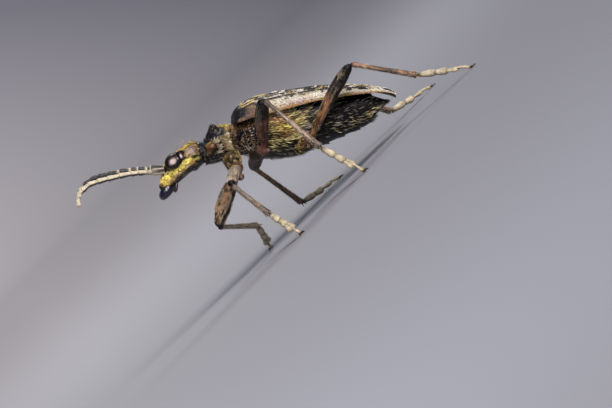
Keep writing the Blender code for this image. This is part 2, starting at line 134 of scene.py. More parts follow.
def patchy(points, size, seed, low, high):
    """Patches of noise: 0 where it is below low, 1 where it is above high."""
    return soft(noise(points, size, seed), low, high)


print("noise at three points:", noise(np.eye(3) * 0.7, 0.3).round(2))

# %% [markdown]
# A plate of the shell is a bent, closed sheet, so it starts as a flat grid. Each point of
# the grid is moved to its place on the plate by a function of two numbers: s along the
# plate and t around it, both from 0 to 1. Then the seam and the poles are merged. Pulling
# points by hand could not give two wing cases or six legs that match, and a function can
# also be asked later where a hair should stand.

# %% A skin from a grid
STEP = 1e-3  # a small step in s or t


def steps(skin, s, t):
    """A small step along a skin and one around it."""
    return (skin(np.minimum(s + STEP, 1), t) - skin(np.maximum(s - STEP, 0), t),
            skin(s, t + STEP) - skin(s, t - STEP))


def surface(skin, s, t):
    """Points of a skin, their outward normals and their way along it, from front to back."""
    ahead, around = steps(skin, s, t)
    return skin(s, t), unit(np.cross(around, ahead)), unit(ahead)


def closing(s, front, back):
    """How far a section has opened between two round ends: 0 at each end, 1 between."""
    near, far = np.clip(s / front, 0, 1), np.clip((1 - s) / back, 0, 1)
    return np.sqrt(1 - (1 - near) ** 2) * np.sqrt(1 - (1 - far) ** 2)


def section(place, top, bottom, half, waist, angle, opened, power=2.1):
    """Points of a cross cut between a top and a bottom line of the side outline."""
    across, rise = (np.sign(f) * np.abs(f) ** (2 / power) for f in (np.cos(angle), np.sin(angle)))
    level = waist + rise * opened * np.where(rise > 0, 1 - waist, waist)
    along = bottom[0] + (top[0] - bottom[0]) * level
    up = bottom[1] + (top[1] - bottom[1]) * level
    return place(along, across * half * opened, up)


print("a section is open by", closing(np.array((0, 0.1, 0.5)), 0.2, 0.2).round(2),
      "at its start, a tenth in and halfway")

# %% [markdown]
# Markings are painted on the points of the mesh: a colour and a gloss value each, which the
# materials read. The last helper finishes a piece: it rides on the frame's one body and
# stands for the solids that it replaces.

# %% Wrapping a grid, and finishing a piece
made = []


def added(name, primitive, **settings):
    """A new primitive, selected alone and named."""
    bpy.ops.object.select_all(action="DESELECT")
    primitive(**settings)
    piece = bpy.context.object
    piece.name = piece.data.name = name
    return piece


def painted(mesh, colours):
    """Writes the markings on a mesh: a colour for each point, or one for all of them."""
    rows = np.ones((len(mesh.vertices), 4), np.float32)
    rows[:, :3] = colours
    layer = mesh.color_attributes.new("marking", "FLOAT_COLOR", "POINT")
    layer.data.foreach_set("color", rows.ravel())


def facing_out():
    """Turns all faces of the piece outwards, leaves edit mode and smooths the shading."""
    bpy.ops.mesh.select_all(action="SELECT")
    bpy.ops.mesh.normals_make_consistent(inside=False)
    bpy.ops.object.mode_set(mode="OBJECT")
    bpy.ops.object.shade_smooth()


def wrapped(name, skin, along, around, paint, shine=None):
    """A grid primitive wrapped to a skin, with its markings and shine as attributes."""
    piece = added(name, bpy.ops.mesh.primitive_grid_add, x_subdivisions=along,
                  y_subdivisions=around, size=1)
    flat = np.empty(len(piece.data.vertices) * 3)
    piece.data.vertices.foreach_get("co", flat)
    s, t = (flat.reshape(-1, 3)[:, :2] + 0.5).clip(0, 1).T
    points = skin(s, t)
    piece.data.vertices.foreach_set("co", ((points - STANCE_CENTRE) * MM).ravel())
    painted(piece.data, paint(s, t, points))
    gloss = piece.data.attributes.new("gloss", "FLOAT", "POINT")
    gloss.data.foreach_set("value", shine(s, t, points) if shine else np.zeros(len(s)))
    bpy.ops.object.mode_set(mode="EDIT")
    bpy.ops.mesh.select_all(action="SELECT")
    bpy.ops.mesh.remove_doubles(threshold=1e-6)
    facing_out()
    return piece


def done(piece, slot, material, *nodes):
    """Finishes a piece: its material, the body it rides on and the solids it stands for."""
    piece.data.materials.clear()
    piece.data.materials.append(material)
    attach(piece, "root")
    if nodes:
        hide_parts(*nodes)
    made.append(piece)
    print(piece.name, "has", len(piece.data.polygons), "faces")


print("grids are wrapped by functions of s and t, and", len(made), "pieces are made so far")

# %% [markdown]
# Colours are picked as the hex values a screen shows. Shaders work on linear light, so one
# function turns a hex value into that. The palette is small: black shell, red-brown leg
# bases, and hair that runs from gold through straw to cream.

# %% Palette
def linear(code):
    parts = [int(code[k:k + 2], 16) / 255 for k in (1, 3, 5)]
    return np.array([c / 12.92 if c <= 0.04045 else ((c + 0.055) / 1.055) ** 2.4 for c in parts])


def for_socket(code):
    """A hex value as a shader's socket takes it."""
    return (*linear(code), 1)


def mixed(first, second, amount):
    return first + (second - first) * np.asarray(amount)[..., None]


def layered(colour, *layers):
    """A colour with others laid over it in turn, each by its amount."""
    for over, amount in layers:
        colour = mixed(colour, over, amount)
    return colour


BLACK, BROWN_BLACK, RUST = linear("#0C0B12"), linear("#2B1E17"), linear("#7D5444")
TAN, SLATE, DUN = linear("#AE7A50"), linear("#2E2D2E"), linear("#8B7E70")
GOLD, YELLOW, OCHRE = linear("#D0AA58"), linear("#F1DA70"), linear("#806338")
STRAW, CREAM, ROSE = linear("#DDCB8C"), linear("#FBF4E4"), linear("#E8D0CC")
ORANGE, GREY_HAIR = linear("#B98A48"), linear("#A9A292")
print("gold in linear light:", GOLD.round(3))

# %% [markdown]
# One small function adds a shader node with its settings and links, and every material below
# is written with it. Two more hold what all materials share: each starts from the place on
# the piece, and ends in the Principled shader.

# %% Adding a shader node
def plugged(tree, target, inputs):
    """Links or sets the sockets of a node."""
    for socket, value in dict(inputs).items():
        if isinstance(value, bpy.types.NodeSocket):
            tree.links.new(value, target.inputs[socket])
        else:
            target.inputs[socket].default_value = value


def node(tree, kind, inputs=(), **settings):
    fresh = tree.nodes.new("ShaderNode" + kind)
    for setting, value in settings.items():
        setattr(fresh, setting, value)
    plugged(tree, fresh, inputs)
    return fresh


def new_material(name):
    """A material, its tree and the place on the piece."""
    material = bpy.data.materials.new(name)
    material.use_nodes = True
    tree = material.node_tree
    return material, tree, node(tree, "TexCoord").outputs["Object"]


def shaded(material, sockets):
    """The material with its shader's sockets linked or set."""
    tree = material.node_tree
    plugged(tree, tree.nodes["Principled BSDF"], sockets)
    return material


print("node types to choose from:", sum(kind.startswith("ShaderNode") for kind in dir(bpy.types)))

# %% [markdown]
# Insect shell is sclerotised chitin, a dark horn with a thin waxy skin. It is glossy where
# it is bare, and every plate is pricked with tiny pits, from which the hairs grow. So the
# finish reads the markings painted on the mesh, darkens them in the pits as painted shade,
# breaks them up with grain, and pushes the same pits in as bump. Bare places carry a gloss value.

# %% Material: pitted chitin
CHITIN_IOR, SHELL_GRAIN = 1.56, 0.3  # the grain's lumps are this far apart, in mm
GRAIN_RANGE = {"From Min": 0.3, "From Max": 0.7}


def pitted_chitin(name, pit_spacing=0.16, pit_depth=0.02, rough=0.55, bare_rough=0.2,
                  pit_shade=0.35, sheen=0.4):
    """Shell with pits this far apart, in mm. Real pits are half that, too fine to show here."""
    material, tree, place = new_material(name)
    marking = node(tree, "Attribute", attribute_name="marking").outputs["Color"]
    gloss = node(tree, "Attribute", attribute_name="gloss").outputs["Fac"]
    grain = node(tree, "TexNoise", {"Vector": place, "Scale": 1 / (SHELL_GRAIN * MM),
                                    "Detail": 4.0}).outputs["Fac"]
    pits = node(tree, "TexVoronoi", {"Vector": place, "Scale": 1 / (pit_spacing * MM)})
    # The colour is darkened towards each pit's middle: painted shade in the hollow.
    pit = node(tree, "MapRange", {"Value": pits.outputs["Distance"], "From Min": 0.12,
                                  "From Max": 0.5, "To Min": pit_shade, "To Max": 1.0}).outputs[0]
    shade = node(tree, "MapRange", {"Value": grain, "To Min": 0.62, "To Max": 1.3, **GRAIN_RANGE})
    strength = node(tree, "Math", {0: pit, 1: shade.outputs[0]}, operation="MULTIPLY")
    colour = node(tree, "VectorMath", {0: marking, "Scale": strength.outputs[0]}, operation="SCALE")
    rough_mix = node(tree, "MapRange", {"Value": gloss, "To Min": rough, "To Max": bare_rough})
    relief = node(tree, "Bump", {"Height": pit, "Distance": pit_depth * MM})
    fine = node(tree, "Bump", {"Height": grain, "Distance": 0.02 * MM, "Normal": relief.outputs[0]})
    return shaded(material, {"Base Color": colour.outputs[0], "Roughness": rough_mix.outputs[0],
                             "Normal": fine.outputs[0], "IOR": CHITIN_IOR,
                             "Specular IOR Level": sheen})


print("light bends by", CHITIN_IOR, "in chitin")

# %% [markdown]
# The hair is fine bristle of the same chitin, hollow and pale. Light catches it
# along its length, so it is a little glossy, and each tuft is darker at the root, where
# little light gets in. The colour comes from the tuft's own attribute.

# %% Material: insect hair
HAIR_GRAIN, HAIR_ROUGH = 0.08, 0.42


def insect_hair(name):
    """Hair with a fine grain along its colour; a single hair is too fine to show."""
    material, tree, place = new_material(name)
    marking = node(tree, "Attribute", attribute_name="marking").outputs["Color"]
    grain = node(tree, "TexNoise", {"Vector": place, "Scale": 1 / (HAIR_GRAIN * MM), "Detail": 2.0})
    shade = node(tree, "MapRange", {"Value": grain.outputs["Fac"], "To Min": 0.75, "To Max": 1.25,
                                    **GRAIN_RANGE})
    colour = node(tree, "VectorMath", {0: marking, "Scale": shade.outputs[0]}, operation="SCALE")
    return shaded(material, {"Base Color": colour.outputs[0], "Roughness": HAIR_ROUGH,
                             "IOR": CHITIN_IOR})


down = insect_hair("flat_golden_down")
print(down.name, "has", len(down.node_tree.nodes), "nodes")

# %% [markdown]
# A coat is thousands of small blades. Each is a thin three-sided spike of seven faces that
# is rooted in the skin, leans along it and comes to a point. Roots stray a little from even
# places, as strictly even ones would show as rows. There are more where the density
# function says so, and they are coloured by the same markings as the skin. Hair is combed,
# so first come the lanes that it follows.

# %% Combing and planting
EVEN_STEPS = np.array((0.7548776662, 0.569840291))  # they fill a square evenly
SCATTER = 1.5  # how far a root strays from its even place, next to the roots' spacing
TRIES, FULL_ROOM = 6, 95  # places tried for each root, and the percentile of room to fill


def lanes(girth, sway, size, seed):
    """How far round a skin a point lies, in mm, swaying a little: hair is combed along this."""
    def lane(s, t, points):
        return girth * np.mod(t + 0.75, 1) + sway * noise(points, size, seed)
    return lane


def streaks(lane, along, across, seed):
    """Noise drawn out along the lanes, as hair parts when it is combed."""
    def streak(s, t, points):
        flat = np.stack((s / along, lane(s, t, points) / across, np.zeros(len(s))), 1)
        return noise(flat, 1.0, seed)
    return streak


def combed(skin, lane, s, t):
    """The way along the skin in which the lane stays the same."""
    ways, changes = [], []
    for ds, dt in ((STEP, 0), (0, STEP)):
        after, before = skin(s + ds, t + dt), skin(s - ds, t - dt)
        ways.append(after - before)
        changes.append((lane(s + ds, t + dt, after) - lane(s - ds, t - dt, before))[:, None])
    return unit(ways[0] * changes[1] - ways[1] * changes[0])


def planted(skin, count, density, seed, part):
    """Roots near even places over part of a skin, left out where the density is low."""
    rng = np.random.default_rng(seed)
    tried = count * TRIES
    stray = rng.random((tried, 2)) * SCATTER / math.sqrt(count)
    even = np.mod(stray + np.arange(tried)[:, None] * EVEN_STEPS, 1)
    s, t = (low + (high - low) * share for (low, high), share in zip(part, even.T))
    room = np.linalg.norm(np.cross(*steps(skin, s, t)), axis=1)
    chance = room / np.percentile(room, FULL_ROOM) * density(s, t, skin(s, t))
    kept = np.flatnonzero(rng.random(tried) < chance)[:count]
    return s[kept], t[kept], rng


def plain(colour):
    """A marking that is one colour everywhere."""
    return lambda s, t, points: colour


def dimmed(paint, share):
    """The same markings with this share of their light."""
    return lambda s, t, points: paint(s, t, points) * share


print("the first roots fall at", np.mod(np.arange(3)[:, None] * EVEN_STEPS, 1).round(2).tolist())

# %% [markdown]
# Each blade is a point of seven corners, repeated over all roots with array arithmetic, for
# a loop over a hundred thousand hairs would be slow. It is sunk a little into the skin, so no
# gap shows at its foot, and keeps a small patch of the coat's map at its root's place.

# %% A mesh of blades
BLADE = np.array(((0, 1, 4, 3), (1, 2, 5, 4), (2, 0, 3, 5)))
BLADE_TIP = np.array(((3, 4, 6), (4, 5, 6), (5, 3, 6), (2, 1, 0)))
BLADE_POINTS = 7


def blade_mesh(name, points):
    """A mesh of blades from seven points each, and the corners of its faces."""
    count = len(points) // BLADE_POINTS
    mesh = bpy.data.meshes.new(name)
    mesh.vertices.add(len(points))
    mesh.vertices.foreach_set("co", ((points - STANCE_CENTRE) * MM).ravel())
    first = np.arange(count)[:, None, None] * BLADE_POINTS
    corners = np.hstack([(first + faces).reshape(count, -1) for faces in (BLADE, BLADE_TIP)]).ravel()
    sizes = np.tile([4] * len(BLADE) + [3] * len(BLADE_TIP), count)
    mesh.loops.add(len(corners))
    mesh.loops.foreach_set("vertex_index", corners)
    mesh.polygons.add(len(sizes))
    mesh.polygons.foreach_set("loop_start", np.cumsum(sizes) - sizes)
    mesh.update(calc_edges=True)
    return mesh, corners


print("a blade has", len(BLADE) + len(BLADE_TIP), "faces round", BLADE_POINTS, "points")

# %% [markdown]
# A coat puts a blade at each root. No two are alike on an insect, so length, width, lift and
# tint vary about the coat's own. A blade is darker at its root, where little light gets in,
# and all of it reads one small patch of the map at its root's place.

# %% A coat of blades
PATCH = 0.003  # side of a blade's patch, as a share of the map
PATCH_PLACES = np.array(((0, 0), (1, 0), (0.5, 0.3), (0.1, 0.6), (0.9, 0.6), (0.5, 0.7), (0.5, 1)))
BLADE_LIGHT = np.array((0.3, 0.3, 0.35, 0.85, 0.85, 1.0, 1.15))  # from the root to the tip
LENGTHS, WIDTHS, LIFTS, TINTS = (0.65, 1.35), (0.7, 1.2), (0.5, 1.5), (-1, 0.7)
SUNK, THICK, TAPER, TIP_LIFT = 0.03, 0.35, 0.8, 1.2  # mm in the skin, then shares of a blade


def tufts(name, skin, count, seed, paint, density, length=0.3, width=0.05, lift=0.12, way=0.0,
          spread=0.25, part=((0, 1), (0, 1)), lane=None, tint=0.35, strip=(0, 1)):
    """Blades over a skin. way turns their lie from the way along the skin, in radians, and
    strip says which share of the map is this skin's, where coats of several are joined."""
    s, t, rng = planted(skin, count, density, seed, part)
    root, normal, along = surface(skin, s, t)
    along = combed(skin, lane, s, t) if lane else along
    turn = way + rng.normal(0, spread, (len(s), 1))
    lie = along * np.cos(turn) + unit(np.cross(normal, along)) * np.sin(turn)
    longer, wider, higher = (rng.uniform(*limits, (len(s), 1))
                             for limits in (LENGTHS, WIDTHS, LIFTS))
    size, rise, thick = length * longer, lift * higher, normal * width * THICK
    wide = np.cross(lie, normal) * width / 2 * wider
    base = root - normal * SUNK
    middle = root + lie * size * 0.5 + normal * size * rise
    tip = root + lie * size + normal * size * rise * TIP_LIFT
    mesh, corners = blade_mesh(name, np.stack((
        base - wide, base + wide, base + thick, middle - wide * TAPER, middle + wide * TAPER,
        middle + thick, tip), 1).reshape(-1, 3))
    shade = paint(s, t, root) * np.exp(rng.normal(0, tint, len(s)).clip(*TINTS))[:, None]
    painted(mesh, (shade[:, None, :] * BLADE_LIGHT[:, None]).reshape(-1, 3).clip(0, 1))
    around = (np.mod(t, 1) + strip[0]) / strip[1]
    roots = np.stack((s, around), 1)[:, None, :] + (PATCH_PLACES - 0.5) * PATCH
    layer = mesh.uv_layers.new(name="OFBake")
    layer.data.foreach_set("uv", roots.reshape(-1, 2)[corners].clip(0, 1).astype(np.float32).ravel())
    piece = bpy.data.objects.new(name, mesh)
    bpy.context.scene.collection.objects.link(piece)
    return piece


def coat(name, skin, *numbers, slot="thorax", **more):
    done(tufts(name, skin, *numbers, **more), slot, down)


print("blades are", LENGTHS[0], "to", LENGTHS[1], "times as long as their coat says")

# %% [markdown]
# The trunk under the wing cases is one skin from chest to tail, though the solids part it
# in two. Chest plates meet in grooves, and each belly ring slips a little over the next, so
# the function adds a small relief along the normals: steps under the belly, a groove
# between the plates of the chest, and the long narrow plate below the wing case's margin.

# %% Trunk
CASE_CROWN = ((-0.2, 0.8), (0.1, 1.18), (0.45, 1.42), (0.9, 1.63), (1.5, 1.8), (2.4, 1.87),
              (3.6, 1.89), (5.75, 1.83), (8.2, 1.5), (9.76, 1.2), (10.9, 0.78), (11.4, 0.5))
CASE_MARGIN = ((-0.2, 0.3), (0.5, 0.45), (1.4, 0.58), (2.4, 0.64), (4.2, 0.8), (6.1, 0.94),
               (8.4, 0.9), (10.0, 0.8), (10.9, 0.6), (11.4, 0.35))
CASE_THICK, TUCKED = 0.5, 0.06  # the back lies this far inside the wing cases
TRUNK_START, TRUNK_END, BELLY_START, BELLY_RINGS = -1.0, 10.9, 5.05, 5
TRUNK_KEEL = ((-1.0, -1.55), (-0.55, -1.62), (-0.35, -1.75), (0.32, -2.0), (1.48, -2.45),
              (2.16, -2.57), (3.5, -2.63), (5.2, -2.38), (7.0, -1.95), (9.0, -1.4), (10.3, -0.8),
              (10.9, -0.4))
TRUNK_HALF = ((-1.0, 1.05), (-0.55, 1.15), (-0.35, 1.35), (0.1, 1.8), (0.8, 2.18), (2.0, 2.32),
              (3.5, 2.38), (5.0, 2.32), (7.0, 2.1), (9.0, 1.7), (10.3, 1.1), (10.9, 0.5))
TRUNK_WAIST, NAPE_TOP, NAPE_SLOPE = 0.6, 0.34, 0.35
CHEST_GROOVE, SIDE_PLATE = 1.5, ((1.6, -0.25), (3.2, -0.5), (5.0, -0.35))
RING_STEP, RING_GROOVE, PLATE_GROOVE, TRUNK_LUMPS = 0.1, 0.1, 0.07, 0.03  # relief in mm


def trunk_along(s):
    return TRUNK_START + (TRUNK_END - TRUNK_START) * s


def trunk_form(s, t):
    u = trunk_along(s)
    roof = through(CASE_CROWN, u) - CASE_THICK + TUCKED
    nape = NAPE_TOP + np.minimum(u - CASE_CROWN[0][0], 0) * NAPE_SLOPE
    top = nape + (roof - nape) * soft(u, 0.0, 1.2)
    return section(body, (u, top), (u, through(TRUNK_KEEL, u)), through(TRUNK_HALF, u),
                   TRUNK_WAIST, 2 * math.pi * t,
                   closing(s, 0.03, 0.13) * (1 - 0.4 * soft(u, 9.2, TRUNK_END)))


def in_body(points):
    """Back from the floor's frame to the body's u, v and w."""
    x, y, z = (points - BODY_START).T
    turn = (math.cos(BODY_PITCH), math.sin(BODY_PITCH))
    return x * turn[0] - z * turn[1], y, x * turn[1] + z * turn[0]


def trunk_skin(s, t):
    points, normals, _ = surface(trunk_form, s, t)
    u, _, w = in_body(points)
    ring = np.mod((u - BELLY_START) / (TRUNK_END - BELLY_START) * BELLY_RINGS, 1)
    belly = soft(u, BELLY_START - 0.05, BELLY_START + 0.1)
    low = soft(-w, -0.6, 0.4)
    plate = (1 - belly) * soft(u, 1.5, 1.8)
    relief = belly * (RING_STEP * ring ** 2 - RING_STEP / 2) + noise(points, 0.5, 1) * TRUNK_LUMPS
    relief -= (RING_GROOVE * bump(u, BELLY_START, 0.07)
               + PLATE_GROOVE * low * bump(u, CHEST_GROOVE, 0.06))
    relief -= PLATE_GROOVE * plate * bump(w, through(SIDE_PLATE, u), 0.05)
    return points + normals * relief[:, None]


print("the trunk is", round(2 * max(half for _, half in TRUNK_HALF), 1), "mm wide at most")

# %% [markdown]
# Markings: the chest's side is golden with darker waves where the hair is combed apart, and
# a bright yellow spot in its middle. The belly is black, thinly covered in grey and straw
# hair, with its rings' hind edges paler.

# %% Trunk markings and the trunk's skin
YELLOW_SPOT, SPOT_REACH = (3.2, -0.38), (0.42, 0.2)
trunk_lane = lanes(13.0, 0.3, 1.3, 6)
trunk_streak = streaks(trunk_lane, 0.05, 0.11, 5)


def spot_distance(u, w):
    """Squared distance from the yellow spot's middle, 1 at its edge."""
    return sum(((x - middle) / reach) ** 2
               for x, middle, reach in zip((u, w), YELLOW_SPOT, SPOT_REACH))


def under_margin(u, w):
    """1 on the strip of the chest just below the wing case's margin."""
    return bump(w, through(CASE_MARGIN, u) - 0.35, 0.35) * (1 - soft(u, 3.0, 4.0))


def uncovered(u, w):
    """1 where the trunk shows, 0 under the wing cases."""
    margin = through(CASE_MARGIN, u)
    return 1 - soft(w, margin - 0.1, margin + 0.1)


def trunk_hair_paint(s, t, points):
    u, _, w = in_body(points)
    rear = mixed(GREY_HAIR, STRAW, patchy(points, 0.5, 4, -0.2, 0.7)) * 0.85
    return layered(mixed(OCHRE, STRAW, patchy(points, 0.35, 2, -0.7, 0.1)),
                   (GOLD * 1.15, np.exp(-spot_distance(u, w) / 6) * 0.7),
                   (YELLOW * 1.3, np.exp(-spot_distance(u, w))),
                   (GREY_HAIR, (1 - soft(u, 1.3, 2.0)) * 0.75),
                   # Below the margin the hair is its own orange-brown, painted brighter as painted
                   # light against the wing case's shadow.
                   (mixed(ORANGE, ROSE, 0.2) * 1.4, under_margin(u, w) * 0.8),
                   (rear, soft(u, BELLY_START - 1.2, BELLY_START - 0.6)),
                   (GREY_HAIR * 0.6, soft(-w, 1.6, 2.1) * 0.8))


def trunk_cover(points):
    """Share of the shell that hair hides: most on the side, little in front, behind and below, and less
    under the wing case's margin, as a painted shadow.
    """
    u, _, w = in_body(points)
    side = soft(u, 1.6, 2.1) * (1 - soft(u, BELLY_START - 0.6, BELLY_START + 0.5))
    cover = (0.09 + 0.85 * side) * (1 - 0.85 * soft(-w, 1.2, 1.7)) * soft(u, 0.9, 1.6)
    shadow = 1 - 0.8 * bump(w, through(CASE_MARGIN, u) - 0.3, 0.24) * soft(u, 3.4, 4.2)
    return cover * uncovered(u, w) * shadow


def trunk_density(s, t, points):
    u, _, w = in_body(points)
    parted = np.maximum.reduce((soft(trunk_streak(s, t, points), -0.15, 0.2),
                                np.exp(-spot_distance(u, w)) * 0.8, under_margin(u, w) * 0.8))
    return trunk_cover(points) * (0.15 + 0.85 * parted)


def trunk_paint(s, t, points):
    return mixed(BLACK, trunk_hair_paint(s, t, points) * 0.16, trunk_cover(points) * 0.6)


trunk = wrapped("trunk", trunk_skin, 460, 200, trunk_paint,
                lambda s, t, points: soft(-in_body(points)[2], 1.2, 2.2) * 0.9 + 0.1)
done(trunk, "thorax", pitted_chitin("black_pitted_chitin", sheen=0.15), "thorax", "abdomen")

# %% [markdown]
# The trunk's hair runs backwards and a little down. A fine dull layer lies under bright
# strands, each of which stands for a few hairs that cling together. Both come in three
# coats so that none is too heavy, and the underside has the fewest. The first part of the
# chest has short curls instead, which lie every way.

# %% Trunk hair
LENGTHWISE = (0.02, 0.98)
TRUNK_COAT = dict(density=trunk_density, lane=trunk_lane, spread=0.16, tint=0.4)
FINE_HAIR = dict(length=0.36, width=0.026, lift=0.06, paint=dimmed(trunk_hair_paint, 0.3))
STRANDS = dict(length=0.5, width=0.054, lift=0.12, paint=trunk_hair_paint)
for label, around, fine, strands, seed in (("right", (-0.18, 0.12), 4200, 1500, 11),
                                           ("left", (0.38, 0.68), 4200, 1500, 12),
                                           ("under", (0.66, 0.84), 1400, 450, 13)):
    for kind, count, first, look in (("trunk_down_", fine, seed, FINE_HAIR),
                                     ("trunk_strands_", strands, seed + 6, STRANDS)):
        coat(kind + label, trunk_skin, count, first, part=(LENGTHWISE, around), **look, **TRUNK_COAT)


def curl_paint(s, t, points):
    u, _, w = in_body(points)
    pale = mixed(GREY_HAIR, mixed(STRAW, ROSE, 0.6), patchy(points, 0.2, 9, -0.3, 0.4))
    colour = mixed(pale, ORANGE * 0.7, patchy(points, 0.45, 10, -0.1, 0.3) * 0.8) * 0.75
    # Below the margin the curls are their own orange-brown, painted brighter as painted light against
    # the wing case's shadow.
    return mixed(colour, mixed(ORANGE, TAN, 0.4) * 1.5, under_margin(u, w))


def curl_density(s, t, points):
    u, _, w = in_body(points)
    patches = np.maximum(0.25 + 0.75 * patchy(points, 0.3, 8, -0.3, 0.3), under_margin(u, w))
    front = 0.45 * (1 - soft(u, 1.2, 1.8)) * uncovered(u, w)
    return front * patches * (1 - 0.6 * soft(-w, 1.4, 1.9))


coat("chest_curls", trunk_skin, 2600, 27, curl_paint, curl_density, length=0.2, width=0.034,
     lift=0.2, spread=0.9, tint=0.6, part=((0.02, 0.26), (-0.18, 0.84)))

# %% [markdown]
# A wing case is a stiff shell plate with three ribs, and it covers the back from the
# suture out to a thin margin. On this species the ribs and many pits are bare and black,
# and cream hair fills the rest in patches, with dark bands across. Outer and inner face are
# one closed sheet: t runs out over the back and returns underneath.

# %% Wing cases
CASE_REACH = ((-0.2, 1.9), (0.05, 2.4), (0.5, 2.7), (1.2, 2.8), (3.0, 2.74), (5.0, 2.6),
              (8.0, 2.3), (9.6, 1.95), (10.6, 1.42), (11.15, 0.85), (11.4, 0.45))
CASE_START, CASE_END, CASE_POWER, CASE_OUTSIDE = -0.2, 11.4, 2.7, 0.8
RIB_PLACES, RIB_HEIGHT, RIB_WIDTH = (0.34, 0.61, 0.8), 0.16, 0.045
SUTURE, SHIELD_LENGTH, SHIELD_ROOM = 0.03, 1.1, 0.36
PIT_ROW, PIT_STEP = 0.3, 0.36  # spacing of the pit rows and of the pits in a row
PIT_DEPTH, PIT_STRAY = 0.045, 0.2  # depth in mm, and stray as a share of the spacing
PITS_LEFT_OUT = (0.25, 0.4)  # share of pits left out, and how many more on the back
FLANK_DEPTH, MARGIN_FLARE, SUTURE_DEPTH = 1.1, 0.05, 0.05  # flank down which the rows go on
INNER_SIDE, INNER_TOP = 0.35, 0.7  # how far in the inner face lies, next to the thickness


def case_parts(s, t, side):
    """Place along the case and out over it, its height there, and whether it is outside."""
    t = np.mod(t if side < 0 else 1 - t, 1)
    outward = np.clip(t / CASE_OUTSIDE, 0, 1)
    back = np.clip((1 - t) / (1 - CASE_OUTSIDE), 0, 1)
    turn = np.where(t < CASE_OUTSIDE, outward, back) * math.pi / 2
    u = CASE_START + (CASE_END - CASE_START) * (1 - np.cos(math.pi * s)) / 2
    return u, np.sin(turn) ** (2 / CASE_POWER), np.cos(turn) ** (2 / CASE_POWER), t < CASE_OUTSIDE


def rib_at(share):
    return sum(bump(share, place, RIB_WIDTH) for place in RIB_PLACES)


def shuffled(number):
    """A share from 0 to 1 that looks random and is the same on each run."""
    return np.mod(np.sin(number) * 4375.8, 1)


def case_pits(u, share, height):
    """Pits in rows along the case, 1 in the middle of a pit, fewer on the back."""
    rows = (share * through(CASE_REACH, u) + FLANK_DEPTH * (1 - height)) / PIT_ROW
    row = np.floor(rows)
    places = u / PIT_STEP + 3 * shuffled(row * 12.99) + 0.4 * np.sin(u * 2.1 + row)
    chance = shuffled(np.floor(places) * 78.2 + row * 12.9)
    aside, ahead = (2 * PIT_STRAY * np.mod(chance * many, 1) - PIT_STRAY for many in (31, 57))
    near = np.hypot(rows - row - 0.5 - aside, np.mod(places, 1) - 0.5 - ahead)
    wanted = chance > PITS_LEFT_OUT[0] + PITS_LEFT_OUT[1] * soft(height, 0.6, 0.85)
    return (1 - soft(near, 0.14, 0.3)) * wanted


def case_skin(s, t, side):
    """The case as one closed sheet: its outer face with ribs and pits, and its inner one."""
    u, share, height, outside = case_parts(s, t, side)
    crown, margin, reach = (through(sizes, u) for sizes in (CASE_CROWN, CASE_MARGIN, CASE_REACH))
    fade = np.sqrt(np.abs(np.sin(math.pi * s)))
    notch = np.clip(1 - (u - CASE_START) / SHIELD_LENGTH, 0, 1) * SHIELD_ROOM
    thick = np.where(outside, 0, CASE_THICK)
    pits = case_pits(u, share, height) * soft(share, 0.05, 0.12)
    lump = RIB_HEIGHT * rib_at(share) - PIT_DEPTH * pits
    out = np.maximum(SUTURE + notch, share * (reach - thick * INNER_SIDE))
    up = margin + (crown - margin - thick * INNER_TOP) * height + np.where(outside, lump * fade, 0)
    flare = np.where(outside, MARGIN_FLARE * soft(share, 0.93, 1), 0)
    return body(u, side * (out + flare), up - SUTURE_DEPTH * bump(share, 0, 0.06))


print("ribs at", RIB_PLACES, "of the way out, pits every", PIT_STEP, "mm")

# %% [markdown]
# The case's markings are built from the same ribs and pits: black ribs broken into dashes,
# black dots in the pits, cream and straw between, dark bands, a bare black shoulder, and
# an orange-brown line along the margin.

# %% Wing case markings
SHOULDER_END, BAND_PLACES = 0.98, ((3.55, 0.3), (6.6, 0.35), (9.35, 0.5))


def case_bare(s, t, points, side):
    """How bare and dark the shell is, 0 to 1."""
    u, share, height, outside = case_parts(s, t, side)
    ribs = np.clip(rib_at(share) * 1.5, 0, 1) * patchy(points, 0.5, 21, -0.5, 0.0) * (share < 0.9)
    flank = 1 - soft(height, 0.52, 0.66)
    wiggle = noise(points, 0.7, 22) * 0.5
    bands = sum(bump(u + wiggle, place, width) for place, width in BAND_PLACES)
    bands = np.clip(bands * 1.2, 0, 1) * soft(share, 0.1, 0.3) * (1 - 0.85 * flank)
    bands *= patchy(points, 0.2, 27, -0.5, 0.1)
    blotch = patchy(points, 0.34, 23, 0.15, 0.45) * (1 - 0.95 * flank)
    ragged = noise(points, 0.3, 28)
    front = u + 0.25 * ragged + 0.42 * soft(height, 0.55, 1.0)
    shoulder = 1 - soft(front, SHOULDER_END - 0.25, SHOULDER_END + 0.1)
    shoulder *= np.maximum(soft(height + 0.2 * ragged, 0.15, 0.4), 1 - soft(u, 0.0, 0.4))
    dots = case_pits(u, share, height)
    bare = np.maximum.reduce((ribs * (1 - flank), dots, bands, blotch, shoulder))
    edge = np.maximum(soft(height, 0.05, 0.2), 1 - soft(u, 0.0, 0.6))
    return np.where(outside, bare * edge, 1)


def case_hair_paint(s, t, points, side):
    u, _, height, _ = case_parts(s, t, side)
    flank, front = 1 - soft(height, 0.34, 0.5), 1 - soft(u, 1.3, 2.2)
    brown = mixed(OCHRE * 0.25, mixed(OCHRE, RUST, 0.4) * 1.2, patchy(points, 0.14, 81, -0.4, 0.4))
    return layered(mixed(STRAW, CREAM, patchy(points, 0.5, 24, -0.4, 0.3)),
                   (CREAM, bump(height, 0.5, 0.16) * 0.8),
                   (ROSE, flank * patchy(points, 0.5, 25, -0.4, 0.4)),
                   (GOLD, flank * patchy(points, 0.3, 29, -0.1, 0.4) * 0.6),
                   (GOLD, front * 0.6 * patchy(points, 0.3, 26, -0.4, 0.4)),
                   (brown, front * (1 - soft(height, 0.6, 0.9)) * 0.9),
                   (ORANGE, (1 - soft(height, 0.1, 0.3)) * 0.8 * soft(u, 2.0, 3.0)))


